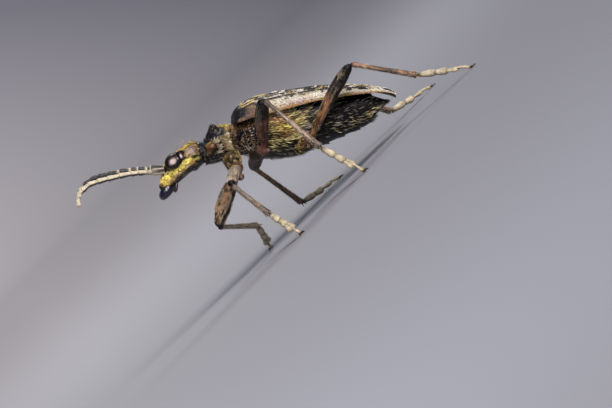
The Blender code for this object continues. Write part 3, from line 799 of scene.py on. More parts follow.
def case_paint(s, t, points, side):
    skin = mixed(BROWN_BLACK, case_hair_paint(s, t, points, side), 0.45)
    return mixed(skin, BLACK, case_bare(s, t, points, side))


pitted_case = pitted_chitin("pitted_wing_case_chitin", pit_spacing=0.11, pit_depth=0.03,
                            bare_rough=0.42, pit_shade=0.8, sheen=0.35)
for label, side in SIDES.items():
    skin, bare, paint, hair = (partial(work, side=side)
                               for work in (case_skin, case_bare, case_paint, case_hair_paint))
    done(wrapped("wing_case_" + label, skin, 360, 240, paint, bare), "elytron", pitted_case,
         "elytron_" + label)
    outer = (0.01, CASE_OUTSIDE - 0.01) if side < 0 else (1.01 - CASE_OUTSIDE, 0.99)
    coat("wing_case_hair_" + label, skin, 15000, 30 + side, hair,
         lambda s, t, points: (1 - bare(s, t, points)) ** 2, length=0.1, width=0.04, lift=0.1,
         spread=0.45, part=((0.01, 0.985), outer), slot="elytron", tint=0.3)

# %% [markdown]
# The collar, or pronotum, is a ring round the neck. A thorn stands out on each side and
# two black knobs rise on top. All are pulled from one skin: a point near a knob moves out
# along the normal, and a point near a thorn's root moves out towards the thorn's tip.

# %% Collar form
COLLAR_REAR, COLLAR_FRONT = ((-0.67, 0.23), (-0.42, -2.05)), ((-2.46, -0.5), (-2.6, -2.2))
COLLAR_RISE = ((0.0, 0.0), (0.12, 0.04), (0.26, 0.18), (0.43, 0.24), (0.55, 0.21), (0.72, 0.17),
               (0.9, 0.1), (1.0, 0.0))
COLLAR_HALF = ((0.0, 1.48), (0.12, 1.42), (0.35, 1.62), (0.5, 1.66), (0.72, 1.45), (0.88, 1.2),
               (1.0, 1.27))
KNOB, KNOB_HEIGHT, KNOB_ROOM = (-1.5, 0.5, 0.42), 0.66, 0.52
THORN, THORN_WAY, THORN_ROOM, THORN_BARE = (-1.9, 1.5, -1.08), (-0.05, 0.62, 0.06), 0.5, 0.36
MIDDLE_GROOVE, CREST_HEIGHT, COLLAR_LUMPS = 0.06, 0.18, 0.03  # relief in mm


def collar_form(s, t):
    rise = through(COLLAR_RISE, s)
    (top_u, top_w), (low_u, low_w) = (
        [rear + (front - rear) * s for rear, front in zip(a, b)]
        for a, b in zip(COLLAR_REAR, COLLAR_FRONT))
    return section(body, (top_u, top_w + rise), (low_u, low_w), through(COLLAR_HALF, s), 0.5,
                   -2 * math.pi * t, closing(s, 0.06, 0.06))


def thorn_distance(u, w):
    """How far a point lies from a thorn's axis, seen from the side."""
    return np.hypot(u - THORN[0], w - THORN[2])


def collar_skin(s, t):
    points, normals, _ = surface(collar_form, s, t)
    u, v, w = in_body(points)
    ahead = np.where(u < KNOB[0], 0.55, 1.5) * (u - KNOB[0])
    knob = np.hypot(np.hypot(ahead, np.abs(v) - KNOB[1]), (w - KNOB[2]) * 0.4)
    rise = KNOB_HEIGHT * np.clip(1 - knob / KNOB_ROOM, 0, 1) * soft(w, -0.6, -0.2)
    groove = MIDDLE_GROOVE * bump(v, 0, 0.12) * soft(w, -0.4, 0) * (1 - soft(u, -1.5, -1.3))
    crest = CREST_HEIGHT * bump(v, 0, 0.13) * soft(u, -1.42, -1.32) * soft(w, -0.1, 0.1)
    relief = rise + crest - groove + noise(points, 0.35, 31) * COLLAR_LUMPS
    out = np.clip(1 - thorn_distance(u, w) / THORN_ROOM, 0, 1) ** 1.2 * soft(np.abs(v), 0.8, 1.2)
    pull = body(THORN_WAY[0], np.sign(v) * THORN_WAY[1], THORN_WAY[2]) - BODY_START
    return points + normals * relief[:, None] + pull * out[:, None]


print("knobs rise", KNOB_HEIGHT, "mm and thorns stand out", THORN_WAY[1], "mm")

# %% [markdown]
# The collar's knobs, thorns and underside are bare and black. Between them lie golden and
# cream hairs, brightest on the ridge between the knobs and on the fringe at the rear. A cream
# arc of hair behind each thorn is a painted highlight, and the thorn's rear side is painted
# darker, as painted shade.

# %% Collar markings
# The pale arc behind a thorn is a painted highlight, laid as cream hair; the dark arc is bare shell.
DARK_ARC, PAINTED_HIGHLIGHT_ARC = 0.66, 0.5  # how far behind a thorn two arcs of other colour lie
collar_lane = lanes(10.0, 0.5, 0.8, 35)
collar_streak = streaks(collar_lane, 0.22, 0.09, 34)


def on_thorn(u, v, w):
    """1 on the smooth cone of a thorn."""
    return ((1 - soft(thorn_distance(u, w), THORN_BARE - 0.06, THORN_BARE))
            * soft(np.abs(v), 1.0, 1.2))


def behind_thorn(u, w, away):
    """1 on a narrow arc at this distance behind a thorn."""
    return bump(thorn_distance(u, w), away, 0.07) * soft(u, -1.95, -1.7)


def collar_bare(s, t, points, room=0.0):
    """Bare black knobs, thorns and underside; hair keeps a little room from the knobs."""
    u, v, w = in_body(points)
    edge = w + room + 0.14 - 0.43 * (u + 1.22) + noise(points, 0.25, 36) * 0.1
    middle = np.maximum(soft(np.abs(v), 0.08, 0.16), 1 - soft(u, -1.75, -1.6))
    dark = soft(edge, -0.05, 0.05) * (1 - soft(u, -1.08 + room, -0.98 + room)) * middle
    below = soft(-w, 1.25, 1.6) * 0.85
    return np.maximum.reduce((dark, on_thorn(u, v, w), below,
                              behind_thorn(u, w, DARK_ARC))).clip(0, 1)


def collar_ridge(u, v, w):
    """1 on the crest between and behind the knobs."""
    return bump(v, 0, 0.11) * soft(u, -1.55, -1.4) * (1 - soft(u, -0.8, -0.6)) * soft(w, -0.1, 0.1)


def fringe(s):
    """1 on the rim at the rear."""
    return 1 - soft(s, 0.2, 0.34)


def collar_hair_paint(s, t, points):
    u, v, w = in_body(points)
    rim = mixed(GOLD, CREAM, patchy(points, 0.2, 37, -0.2, 0.5) * (1 - soft(w, -0.3, 0.1)))
    ridge = bump(v, 0, 0.2) * soft(u, -1.7, -1.5) * soft(w, -0.2, 0.05)
    return layered(mixed(OCHRE, GOLD, patchy(points, 0.35, 32, -0.4, 0.5)),
                   (STRAW, patchy(points, 0.4, 33, -0.1, 0.4) * 0.7),
                   (rim * 1.1, fringe(s) * 0.8),
                   (YELLOW, np.clip(ridge * 1.4, 0, 1)),
                   # A cream arc behind the thorn: a painted highlight.
                   (CREAM, behind_thorn(u, w, PAINTED_HIGHLIGHT_ARC)),
                   (DUN, bump(u, -1.35, 0.3) * bump(w, -0.45, 0.22) * 0.8),
                   (GREY_HAIR, soft(-w, 1.3, 1.7)))


def collar_density(s, t, points):
    u, v, w = in_body(points)
    # Dense hair on the arc behind a thorn carries its painted highlight.
    cover = np.maximum.reduce((soft(collar_streak(s, t, points), -0.15, 0.2),
                               fringe(s) * patchy(points, 0.17, 38, -0.5, 0.1),
                               behind_thorn(u, w, PAINTED_HIGHLIGHT_ARC))) * (1 - collar_ridge(u, v, w))
    return (1 - collar_bare(s, t, points, 0.16)) * (0.06 + 0.94 * cover) * (1 - soft(s, 0.9, 0.95))


def collar_paint(s, t, points):
    u, v, w = in_body(points)
    root = THORN[0] - 0.6 * THORN[2]
    # The thorn's rear, lower side is painted darker than its front: painted shade on the cone.
    shaded_side = soft(u - 0.6 * w, root - 0.1, root + 0.25)
    return layered(BLACK,
                   (collar_hair_paint(s, t, points) * 0.18, collar_density(s, t, points) * 0.6),
                   (YELLOW * 0.6, collar_ridge(u, v, w)),
                   (mixed(TAN * 0.4, BLACK, shaded_side), on_thorn(u, v, w)))


glossy = pitted_chitin("glossy_black_chitin", pit_spacing=0.17, pit_depth=0.09, bare_rough=0.38,
                       sheen=0.2)
done(wrapped("collar", collar_skin, 200, 260, collar_paint, collar_bare), "pronotum", glossy,
     "pronotum")

# %% [markdown]
# The collar's coats: dull down below, bright strands over it, a flat yellow line on the
# ridge, thin grey curls on the black knobs and underside, and a few bristles that stand up.

# %% Collar hair
def collar_curl_density(s, t, points):
    u, v, w = in_body(points)
    below = soft(-w, 0.95, 1.3) * soft(s, 0.12, 0.3)
    knobs = soft(w, -0.3, 0.0) * soft(np.abs(v), 0.45, 0.7) * (1 - soft(w, 0.3, 0.5))
    wanted = np.maximum(0.5 * below, 0.3 * knobs * collar_bare(s, t, points))
    return wanted * (1 - on_thorn(u, v, w))


BRISTLE = dict(length=0.26, width=0.018, lift=1.0, spread=0.5, way=math.pi)
COMBED_BACK = dict(way=math.pi, slot="pronotum", lane=collar_lane)
coat("collar_down", collar_skin, 5000, 41, dimmed(collar_hair_paint, 0.5), collar_density,
     length=0.26, width=0.03, lift=0.12, spread=0.2, **COMBED_BACK)
coat("collar_strands", collar_skin, 2400, 42, collar_hair_paint, collar_density, length=0.32,
     width=0.042, lift=0.16, spread=0.35, tint=0.55, **COMBED_BACK)
coat("collar_ridge_hair", collar_skin, 260, 44, plain(YELLOW),
     lambda s, t, points: collar_ridge(*in_body(points)), length=0.3, width=0.05, lift=0.03,
     spread=0.06, way=math.pi, tint=0.2, slot="pronotum")
coat("collar_curls", collar_skin, 700, 45, plain(mixed(GREY_HAIR, STRAW, 0.4) * 0.8),
     collar_curl_density, length=0.2, width=0.02, lift=0.12, spread=0.9, tint=0.6, slot="pronotum")
coat("collar_bristles", collar_skin, 120, 43, plain(mixed(SLATE, STRAW, 0.4)),
     lambda s, t, points: soft(in_body(points)[2], -1.2, 0.0) * 0.3, slot="pronotum", **BRISTLE)

# %% [markdown]
# The head is long and square, with the eyes set in low rims, swollen temples behind them,
# and a feeler's socket in front of each. Rings of the head's top and bottom line, half
# width and waist are listed, and smooth curves run through them.

# %% Head form
HEAD_RINGS = (
    ((-1.2, 0.32), (-0.26, -0.56), 0.72, 0.5),
    ((-0.62, 0.88), (0.39, -0.52), 0.9, 0.5),
    ((-0.1, 1.24), (0.75, -0.56), 1.08, 0.5),
    ((0.5, 1.33), (1.05, -0.42), 1.2, 0.5),
    ((1.1, 1.38), (1.4, -0.36), 1.16, 0.5),
    ((1.75, 1.36), (1.9, -0.35), 1.02, 0.5),
    ((2.3, 1.2), (2.3, -0.32), 0.86, 0.48),
    ((2.75, 0.9), (2.6, -0.25), 0.76, 0.46),
    ((3.2, 0.55), (2.85, -0.14), 0.68, 0.45),
    ((3.52, 0.26), (3.1, -0.02), 0.5, 0.45),
)
EYE_PLACE, EYE_SIZE, EYE_TURN = (1.41, 0.85, 0.99), (0.82, 0.44, 0.53), math.radians(11)
SOCKET, LIP_GROOVE = (2.4, 0.52, 1.02), 2.72
EYE_RIM, EYE_HOLLOW, TEMPLE_RISE, CROWN_GROOVE = 0.06, 0.12, 0.07, 0.06  # relief in mm
LIP_DEPTH, SOCKET_RIM, HEAD_LUMPS = 0.05, 0.11, 0.02


def head_form(s, t):
    index = s * (len(HEAD_RINGS) - 1)
    rows = [[*top, *low, half, waist] for top, low, half, waist in HEAD_RINGS]
    top_p, top_q, low_p, low_q, half, waist = (
        through(tuple(enumerate(column)), index) for column in zip(*rows))
    return section(head, (top_p, top_q), (low_p, low_q), half, waist, -2 * math.pi * t,
                   closing(s, 0.02, 0.06), power=2.3)


def in_head(points):
    """Back from the floor's frame to the head's p, v and q."""
    u, v, w = in_body(points)
    u, w = u - HEAD_START[0], w - HEAD_START[1]
    turn = (math.cos(HEAD_DROOP), math.sin(HEAD_DROOP))
    return -u * turn[0] - w * turn[1], v, -u * turn[1] + w * turn[0]


def eye_distance(p, v, q):
    """1 on the eye's surface, less inside it."""
    p, v, q = p - EYE_PLACE[0], np.abs(v) - EYE_PLACE[1], q - EYE_PLACE[2]
    turn = (math.cos(EYE_TURN), math.sin(EYE_TURN))
    p, q = p * turn[0] + q * turn[1], -p * turn[1] + q * turn[0]
    return np.sqrt((p / EYE_SIZE[0]) ** 2 + (v / EYE_SIZE[1]) ** 2 + (q / EYE_SIZE[2]) ** 2)


def socket_distance(p, v, q):
    """How far in mm a point lies from the middle of a feeler's socket."""
    return np.hypot(np.hypot(p - SOCKET[0], np.abs(v) - SOCKET[1]), q - SOCKET[2])


def head_skin(s, t):
    points, normals, _ = surface(head_form, s, t)
    p, v, q = in_head(points)
    eye = eye_distance(p, v, q)
    relief = EYE_RIM * bump(eye, 1.1, 0.12) - EYE_HOLLOW * (1 - soft(eye, 0.7, 1.0))
    relief += TEMPLE_RISE * np.exp(-((p - 0.15) / 0.3) ** 2 - ((q - 0.55) / 0.35) ** 2)
    relief -= CROWN_GROOVE * bump(v, 0, 0.07) * soft(q, 0.6, 0.9) * (1 - soft(p, 2.3, 2.6))
    relief -= LIP_DEPTH * bump(p - 0.25 * np.abs(v), LIP_GROOVE, 0.05) * soft(q, 0.2, 0.5)
    relief += SOCKET_RIM * bump(socket_distance(p, v, q), 0.12, 0.12)
    return points + normals * (relief + noise(points, 0.3, 41) * HEAD_LUMPS)[:, None]


print("the head is", round(HEAD_RINGS[-1][0][0] - HEAD_RINGS[0][0][0], 1), "mm long")

# %% [markdown]
# The head's sides wear a broad golden band under the eye, specked with black. A pale
# painted highlight of dense hair lies on the swelling behind the eye, and the throat is black
# with a few rosy hairs.

# %% Head markings and hair
OLIVE_SHIFT = np.array((0.62, 0.72, 0.6))
head_lane = lanes(7.0, 0.3, 0.6, 44)
head_streak = streaks(head_lane, 0.09, 0.08, 43)


def head_bare(s, t, points):
    p, v, q = in_head(points)
    eye = 1 - soft(eye_distance(p, v, q), 1.08, 1.2)
    below = 1 - soft(q, -0.34, -0.16)
    neck = 1 - soft(p + 0.35 * q, -0.12, 0.05)
    socket = 1 - soft(socket_distance(p, v, q), 0.3, 0.4)
    return np.maximum.reduce((eye, below, neck, socket)).clip(0, 1)


def cheek_band(p, q):
    """The broad golden band under the eye."""
    low, high = 0.05, 0.72 - 0.35 * (1 - soft(p, 0.4, 1.2))
    inside = soft(q, low - 0.06, low + 0.1) * (1 - soft(q, high - 0.08, high + 0.04))
    return inside * soft(p, 0.4, 0.8)


def temple_highlight(p, q):
    """Where a pale highlight is painted on the swelling behind the eye."""
    return np.clip(1.3 * np.exp(-((p - 0.22) / 0.32) ** 2 - ((q - 0.75) / 0.22) ** 2), 0, 1)


def head_hair_paint(s, t, points):
    p, _, q = in_head(points)
    crown = mixed(OCHRE * 0.7, mixed(GOLD, YELLOW, 0.4) * 1.3, patchy(points, 0.2, 49, -0.5, 0))
    gold = mixed(YELLOW, GOLD, patchy(points, 0.22, 46, 0.0, 0.5) * 0.6) * 1.5
    brown = mixed(OCHRE, ROSE * 0.8, patchy(points, 0.2, 47, 0.0, 0.4))
    olive = np.exp(-((p - 0.2) / 0.3) ** 2 - ((q - 0.3) / 0.3) ** 2)
    return layered(mixed(OCHRE, GOLD, patchy(points, 0.3, 42, -0.4, 0.4)),
                   (crown, soft(q, 1.0, 1.2)),
                   (mixed(gold, brown, (1 - soft(q, 0.2, 0.3)) * 0.8), cheek_band(p, q)),
                   (YELLOW * OLIVE_SHIFT, olive),
                   # Pale rose-grey behind the eye: a painted highlight on the swelling.
                   (mixed(ROSE, SLATE, 0.22) * 0.85, temple_highlight(p, q)),
                   (ROSE * 0.2, soft(-q, -0.08, 0.06) * 0.85),
                   (mixed(GOLD, YELLOW, 0.5), soft(p, 2.6, 3.1)))


def head_density(s, t, points):
    p, _, q = in_head(points)
    parted = soft(head_streak(s, t, points), -0.02, 0.2)
    specks = patchy(points, 0.16, 45, -0.4, -0.15) * patchy(points, 0.1, 48, -0.5, -0.25)
    # The painted highlight behind the eye is also dense pale hair.
    specks = np.maximum(specks, temple_highlight(p, q) * 0.9)
    cover = np.clip(0.05 + 0.65 * parted + 0.75 * cheek_band(p, q) + temple_highlight(p, q), 0, 1)
    thin = 0.2 + 0.8 * soft(q, -0.06, 0.08)
    return (1 - head_bare(s, t, points)) * cover * (0.15 + 0.85 * specks) * thin


def head_paint(s, t, points):
    return mixed(BLACK, head_hair_paint(s, t, points) * 0.5, head_density(s, t, points) * 0.4)


done(wrapped("head_skin", head_skin, 240, 220, head_paint, head_bare), "head",
     pitted_chitin("head_chitin", pit_spacing=0.1), "head")
coat("head_hair", head_skin, 9500, 51, head_hair_paint, head_density, length=0.17, width=0.036,
     lift=0.14, way=math.pi, spread=0.2, slot="head", part=((0.1, 0.97), (0, 1)), lane=head_lane)
coat("head_bristles", head_skin, 150, 52, plain(mixed(GOLD, STRAW, 0.5)),
     lambda s, t, points: soft(in_head(points)[2], 0.95, 1.25) * (1 - head_bare(s, t, points)),
     slot="head", **BRISTLE)

# %% [markdown]
# A compound eye is a dome of thousands of lenses, black and very smooth, so it shows the
# lights as clear highlights. It starts as a ball, pulled to the eye's size and set in the
# head's own axes. Its outer side is raised into two domes, a large one in front and a small
# one behind, because the real eye is a bean with a crease.

# %% Eyes
def head_axes(p, v, q):
    """The head's frame as a matrix, with its origin at a place in it."""
    origin = (head(p, v, q) - STANCE_CENTRE) * MM
    axes = [unit(head(*(np.array((p, v, q)) + way)) - head(p, v, q)) for way in np.eye(3)]
    axes[0] = -axes[0]
    return Matrix.Translation(origin) @ Matrix(np.array(axes).T.tolist()).to_4x4()


LOBES = ((-0.22, 0.0, 0.8, 1.0, 1.0), (0.62, 0.08, 0.38, 0.8, 0.86))
LOBE_POWER, LOBE_LEAN = 3.0, (0.3, 0.42)  # how flat a dome is, and its slope back and up


def lobed(x, z):
    """Height of two domes that meet in a crease, each by its centre, half sizes and height."""
    domes = []
    for mid, up, half, high, height in LOBES:
        reach = math.hypot((x - mid) / half, (z - up) / high)
        dome = math.sqrt(max(0.0, 1 - reach ** LOBE_POWER))
        domes.append(height * dome - (LOBE_LEAN[0] * (x - mid) + LOBE_LEAN[1] * (z - up)) * dome)
    return max(domes)


def lens_dome(name):
    """Cornea over thousands of lenses; real facets are 0.02 mm, drawn three times as wide."""
    material, tree, place = new_material(name)
    facets = node(tree, "TexVoronoi", {"Vector": place, "Scale": 1 / (0.06 * MM), "Randomness": 0.2})
    relief = node(tree, "Bump", {"Height": facets.outputs["Distance"], "Distance": 0.004 * MM,
                                 "Strength": 0.5})
    return shaded(material, {"Base Color": for_socket("#08070A"), "Roughness": 0.34, "IOR": 1.5,
                             "Specular Tint": for_socket("#FFE4E8"), "Coat Weight": 0.25,
                             "Coat Roughness": 0.2, "Normal": relief.outputs[0]})


cornea = lens_dome("black_cornea")
for label, side in SIDES.items():
    eye = added("compound_eye_" + label, bpy.ops.mesh.primitive_uv_sphere_add, segments=72,
                ring_count=40, radius=MM)
    for vert in eye.data.vertices:
        if vert.co.y * side > 0:
            vert.co.y = side * max(0.05, lobed(vert.co.x / MM, vert.co.z / MM)) * MM
    tilt, size = Matrix.Rotation(EYE_TURN, 4, "Y"), Matrix.Diagonal((*EYE_SIZE, 1))
    eye.data.transform(head_axes(EYE_PLACE[0], side * EYE_PLACE[1], EYE_PLACE[2]) @ tilt @ size)
    bpy.ops.object.mode_set(mode="EDIT")
    facing_out()
    done(eye, "eye", cornea, "eye_" + label)

# %% [markdown]
# Horns, jaws, palps and claws are drawn out from a disc: the disc's face is extruded along
# a short route and made smaller at each step, and Subdivision Surface rounds the result.

# %% Drawn-out horns
def drawn_out(name, route, radii, flat=1.0, sides=10):
    """A disc extruded along a route in mm, as thick at each point as its radius says."""
    route = [Vector((np.array(point) - STANCE_CENTRE) * MM) for point in route]
    facing = (route[-1] - route[0]).to_track_quat("Z", "Y").to_euler()
    horn = added(name, bpy.ops.mesh.primitive_circle_add, vertices=sides, radius=radii[0] * MM,
                 fill_type="NGON", location=route[0], rotation=facing, scale=(1, flat, 1))
    bpy.ops.object.transform_apply(location=True, rotation=True, scale=True)
    bpy.ops.object.mode_set(mode="EDIT")
    bpy.ops.mesh.select_all(action="SELECT")
    for before, point, was, now in zip(route, route[1:], radii, radii[1:]):
        bpy.ops.mesh.extrude_region_move(TRANSFORM_OT_translate={"value": point - before})
        bpy.ops.transform.resize(value=(now / was,) * 3, center_override=point)
    facing_out()
    rounded = horn.modifiers.new("Rounded", "SUBSURF")
    rounded.levels = rounded.render_levels = 2
    bpy.ops.object.modifier_apply(modifier=rounded.name)
    return horn


def joined(name, pieces):
    """Several pieces as one object at the origin."""
    bpy.ops.object.select_all(action="DESELECT")
    for piece in pieces:
        piece.select_set(True)
    bpy.context.view_layer.objects.active = pieces[0]
    if len(pieces) > 1:
        bpy.ops.object.join()
    pieces[0].name = pieces[0].data.name = name
    return pieces[0]


trial = drawn_out("trial", [(0, 0, 0), (0, 0, 1), (0, 0, 2)], (0.3, 0.2, 0.1))
print("a trial horn is", round(trial.dimensions.z / MM, 2), "mm long")
bpy.data.objects.remove(trial)

# %% [markdown]
# Jaw horn is the hardest chitin on the insect, almost black and polished by use. Unlike the
# plates it has no painted attribute, so its own colours are in the nodes.

# %% Material: jaw and claw horn, and the mouth parts
def horn_finish(name, dark, pale, rough, lumps=0.15, depth=0.01):
    """Horn with lumps about this far apart and this deep, in mm."""
    material, tree, place = new_material(name)
    grain = node(tree, "TexNoise", {"Vector": place, "Scale": 1 / (lumps * MM),
                                    "Detail": 3.0}).outputs["Fac"]
    colours = node(tree, "Mix", {"Factor": grain, "A": for_socket(dark), "B": for_socket(pale)},
                   data_type="RGBA")
    relief = node(tree, "Bump", {"Height": grain, "Distance": depth * MM})
    return shaded(material, {"Base Color": colours.outputs["Result"], "Roughness": rough,
                             "Normal": relief.outputs[0], "IOR": CHITIN_IOR})


jaw_horn = horn_finish("polished_jaw_horn", "#0C0B16", "#201E33", 0.22, 0.4, 0.12)
JAW = ((2.75, 0.34, -0.12), (3.2, 0.44, -0.18), (3.6, 0.4, -0.24), (3.88, 0.22, -0.3),
       (4.0, 0.06, -0.32))
JAW_RADII = (0.34, 0.42, 0.38, 0.28, 0.14)
for label, side in SIDES.items():
    jaw = drawn_out("jaw", [head(p, side * v, q) for p, v, q in JAW], JAW_RADII, flat=0.8)
    done(joined("jaw_" + label, [jaw]), "mandible", jaw_horn, "mandible_" + label)

brown_horn = horn_finish("brown_mouth_chitin", "#15100D", "#33261A", 0.4)
PALPS = (((2.3, 0.42, -0.15), (2.55, 0.5, -0.38), (2.75, 0.52, -0.55), (2.95, 0.5, -0.66)),
         ((2.6, 0.2, -0.2), (2.85, 0.22, -0.4), (3.05, 0.2, -0.5)))
PALP_RADII = (0.1, 0.12, 0.13, 0.07)
palps = [drawn_out("palp", [head(p, side * v, q) for p, v, q in route], PALP_RADII[:len(route)])
         for side in SIDES.values() for route in PALPS]
lip = drawn_out("lip", [head(p, 0, q) for p, q in ((3.1, 0.26), (3.35, 0.12), (3.52, 0.0))],
                (0.42, 0.34, 0.18), flat=0.3)
done(joined("palps_and_lip", palps + [lip]), "head", brown_horn)

# %% [markdown]
# Legs and feelers are bent rods, so they share one skin: a ring that travels along a route,
# with a thickness that depends on how far it has come.

# %% Skins round a route
UP = np.array((0.0, 0.0, 1.0))


def limb(route, radius, deep=1.0):
    """A skin round an axis. route(s) gives points, radius(s) half the width."""
    def skin(s, t):
        step = 2e-3
        way = unit(route(np.minimum(s + step, 1)) - route(np.maximum(s - step, 0)))
        side = unit(np.cross(UP, way))
        lift = np.cross(way, side)
        size, angle = radius(s), 2 * math.pi * t
        return (route(s) + side * (size * np.cos(angle))[:, None]
                + lift * (size * deep * np.sin(angle))[:, None])
    return skin


def line(start, end, bow=0.0):
    """A route between two points that bows upwards."""
    start, end = np.array(start, float), np.array(end, float)
    way = unit(end - start)
    rise = unit(UP - way * way[2])

    def route(s):
        s = np.asarray(s)[..., None]
        return start + (end - start) * s + rise * bow * np.sin(math.pi * s)
    return route


def round_ends(profile, front=0.06, back=0.06):
    """Thickness along a limb, closed at both ends."""
    return lambda s: through(profile, s) * closing(s, front, back)


print("a 2 mm line bowed by 0.1 mm passes", line((0, 0, 0), (2, 0, 0), 0.1)(0.5).round(2))

# %% [markdown]
# A feeler has eleven joints. The first is the longest, the second a bead, and each later one
# widens a little to its end. Short hair lies so flat on them that it looks like a smooth skin:
# cream along the left feeler, slate with cream at the joints on the right, cream at the tips.

# %% Feelers
FEELER_ROUTES = {
    "left": ((-7.1, -0.42, 9.35), (-7.83, -0.6, 9.85), (-8.55, -0.75, 10.47), (-9.37, -0.95, 11.14),
             (-10.12, -1.1, 11.62), (-11.24, -1.3, 12.27), (-12.02, -1.45, 12.58),
             (-12.6, -1.55, 12.58), (-13.1, -1.62, 12.32), (-13.42, -1.68, 11.98)),
    "right": ((-7.1, 0.42, 9.42), (-8.0, 0.6, 10.25), (-8.6, 0.75, 10.78), (-9.3, 0.95, 11.33),
              (-10.03, 1.1, 11.82), (-10.76, 1.3, 12.28), (-11.5, 1.45, 12.62),
              (-12.2, 1.55, 12.72), (-12.75, 1.62, 12.6), (-13.15, 1.68, 12.3)),
}
JOINT_LENGTHS = np.array((1.5, 0.3, 0.75, 0.6, 1.0, 0.95, 0.85, 0.75, 0.65, 0.6, 0.75))
JOINT_ENDS = np.concatenate(([0], np.cumsum(JOINT_LENGTHS))) / JOINT_LENGTHS.sum()
FEELER_WIDTH = ((0, 0.24), (0.16, 0.24), (0.2, 0.18), (0.6, 0.19), (1, 0.15))


def smooth_route(points):
    points = np.array(points)
    reached = np.concatenate(([0], np.cumsum(np.linalg.norm(np.diff(points, axis=0), axis=1))))
    reached /= reached[-1]
    return lambda s: np.stack([through(tuple(zip(reached, axis)), s) for axis in points.T], -1)


def in_joint(s):
    """Which joint a place is in, and how far along that joint."""
    k = np.clip(np.searchsorted(JOINT_ENDS, s, side="right") - 1, 0, len(JOINT_LENGTHS) - 1)
    return k, (s - JOINT_ENDS[k]) / (JOINT_ENDS[k + 1] - JOINT_ENDS[k])


def feeler_radius(s):
    _, x = in_joint(s)
    club = 0.84 + 0.18 * soft(x, 0.1, 0.9)
    pinch = 1 - 0.25 * bump(x, 0, 0.07) - 0.3 * bump(x, 1, 0.05)
    return through(FEELER_WIDTH, s) * club * pinch * closing(s, 0.01, 0.02)


def feeler_pale(s, t, label):
    """Where a feeler is pale: the left one above, the right one at the joints and the tip."""
    _, x = in_joint(s)
    up = np.sin(2 * math.pi * t)
    above = soft(up, -0.45, -0.1) * (1 - 0.3 * soft(x, 0.9, 1.0)) * soft(s, 0.1, 0.25)
    above = np.maximum(above, soft(up, 0.5, 0.8) * (1 - soft(s, 0.12, 0.3)) * 0.7)
    ringed = (1 - soft(x, 0.12, 0.3)) * (1 - soft(s, 0.45, 0.6)) * 0.9
    tip = soft(s, 0.84, 0.9) * (1 - 0.8 * bump(x, 0, 0.15))
    below = (1 - soft(up, -0.6, -0.2)) * (1 - soft(s, 0.12, 0.3)) * 0.8
    return np.maximum.reduce((above if label == "left" else ringed, tip, below))


def feeler_paint(s, t, points, label):
    amount = feeler_pale(s, t, label) * (0.8 + 0.2 * noise(points, 0.2, 61))
    return mixed(SLATE, mixed(STRAW, CREAM, 0.6), amount * 0.85)


def feeler_hair_paint(s, t, points, label):
    return mixed(SLATE, mixed(CREAM, STRAW, 0.3), feeler_pale(s, t, label))


feeler_chitin = pitted_chitin("feeler_chitin", pit_spacing=0.08, rough=0.5, pit_shade=0.6)
for label, side in SIDES.items():
    skin = limb(smooth_route(FEELER_ROUTES[label]), feeler_radius)
    done(wrapped("feeler_" + label, skin, 420, 24, partial(feeler_paint, label=label)), "antenna",
         feeler_chitin, "antenna_" + label)
    coat("feeler_hair_" + label, skin, 3000, 62 + side, partial(feeler_hair_paint, label=label),
         lambda s, t, points: 0.3 + 0.65 * feeler_pale(s, t, label), length=0.12, width=0.02,
         lift=0.03, spread=0.08, tint=0.12, slot="antenna")

# %% [markdown]
# Each leg hangs on named joints. The hip is a thick cone, the thigh a club that bows
# upwards, the shin a slim rod that widens to the ankle, and the foot four joints: two heart
# shaped pads, a pad split in two lobes, and a thin last joint with a pair of claws.

# %% Leg joints and sizes
LEGS = {  # the root in the body's frame, then hip, knee, ankle and toe over the floor
    "front_left": ((-0.8, -0.8, -1.6), (-3.6, -1.1, 6.1), (-4.75, -4.85, 5.75), (-4.3, -5.4, 2.5),
                   (-3.7, -7.1, 0.0)),
    "front_right": ((-0.8, 0.8, -1.6), (-3.9, 1.05, 5.85), (-7.55, 2.1, 3.98), (-5.53, 4.3, 2.05),
                    (-5.95, 6.3, 0.0)),
    "mid_left": ((1.0, -1.1, -1.9), (-1.46, -2.05, 5.65), (0.94, -4.5, 8.45), (1.42, -5.8, 3.3),
                 (2.4, -6.95, 0.0)),
    "mid_right": ((1.0, 1.1, -1.9), (-1.5, 2.0, 5.6), (-2.85, 5.95, 5.1), (-2.15, 8.15, 0.8),
                  (1.0, 9.3, 0.0)),
    "hind_left": ((4.05, -1.1, -2.0), (1.35, -2.1, 4.0), (6.95, -4.35, 5.92), (9.65, -6.7, 2.25),
                  (12.6, -8.1, 0.0)),
    "hind_right": ((4.05, 1.1, -2.0), (1.35, 2.1, 4.0), (4.5, 6.8, 4.9), (7.0, 8.9, 0.95),
                   (10.3, 10.0, 0.0)),
}
THIGH_WIDTH = {
    "front": ((0, 0.2), (0.15, 0.33), (0.4, 0.54), (0.6, 0.56), (0.8, 0.46), (0.93, 0.35),
              (1, 0.27)),
    "mid": ((0, 0.2), (0.12, 0.26), (0.3, 0.38), (0.55, 0.47), (0.74, 0.49), (0.9, 0.4),
            (1, 0.29)),
    "hind": ((0, 0.18), (0.12, 0.23), (0.35, 0.33), (0.6, 0.42), (0.78, 0.43), (0.92, 0.34),
             (1, 0.26)),
    "front_left": ((0, 0.2), (0.15, 0.3), (0.4, 0.4), (0.6, 0.4), (0.8, 0.34), (0.93, 0.28),
                   (1, 0.24)),
}
THIGH_BOW = 0.16
HIP_WIDTH = ((0, 0.62), (0.45, 0.56), (0.85, 0.36), (1, 0.3))
SHIN_WIDTH = ((0, 0.15), (0.06, 0.19), (0.14, 0.15), (0.6, 0.17), (0.88, 0.2), (1, 0.25))
FOOT_HEIGHT = 0.12  # of the last joint's middle over the floor
print("six legs, feet", [toe[0] for *_, toe in LEGS.values()], "mm along")
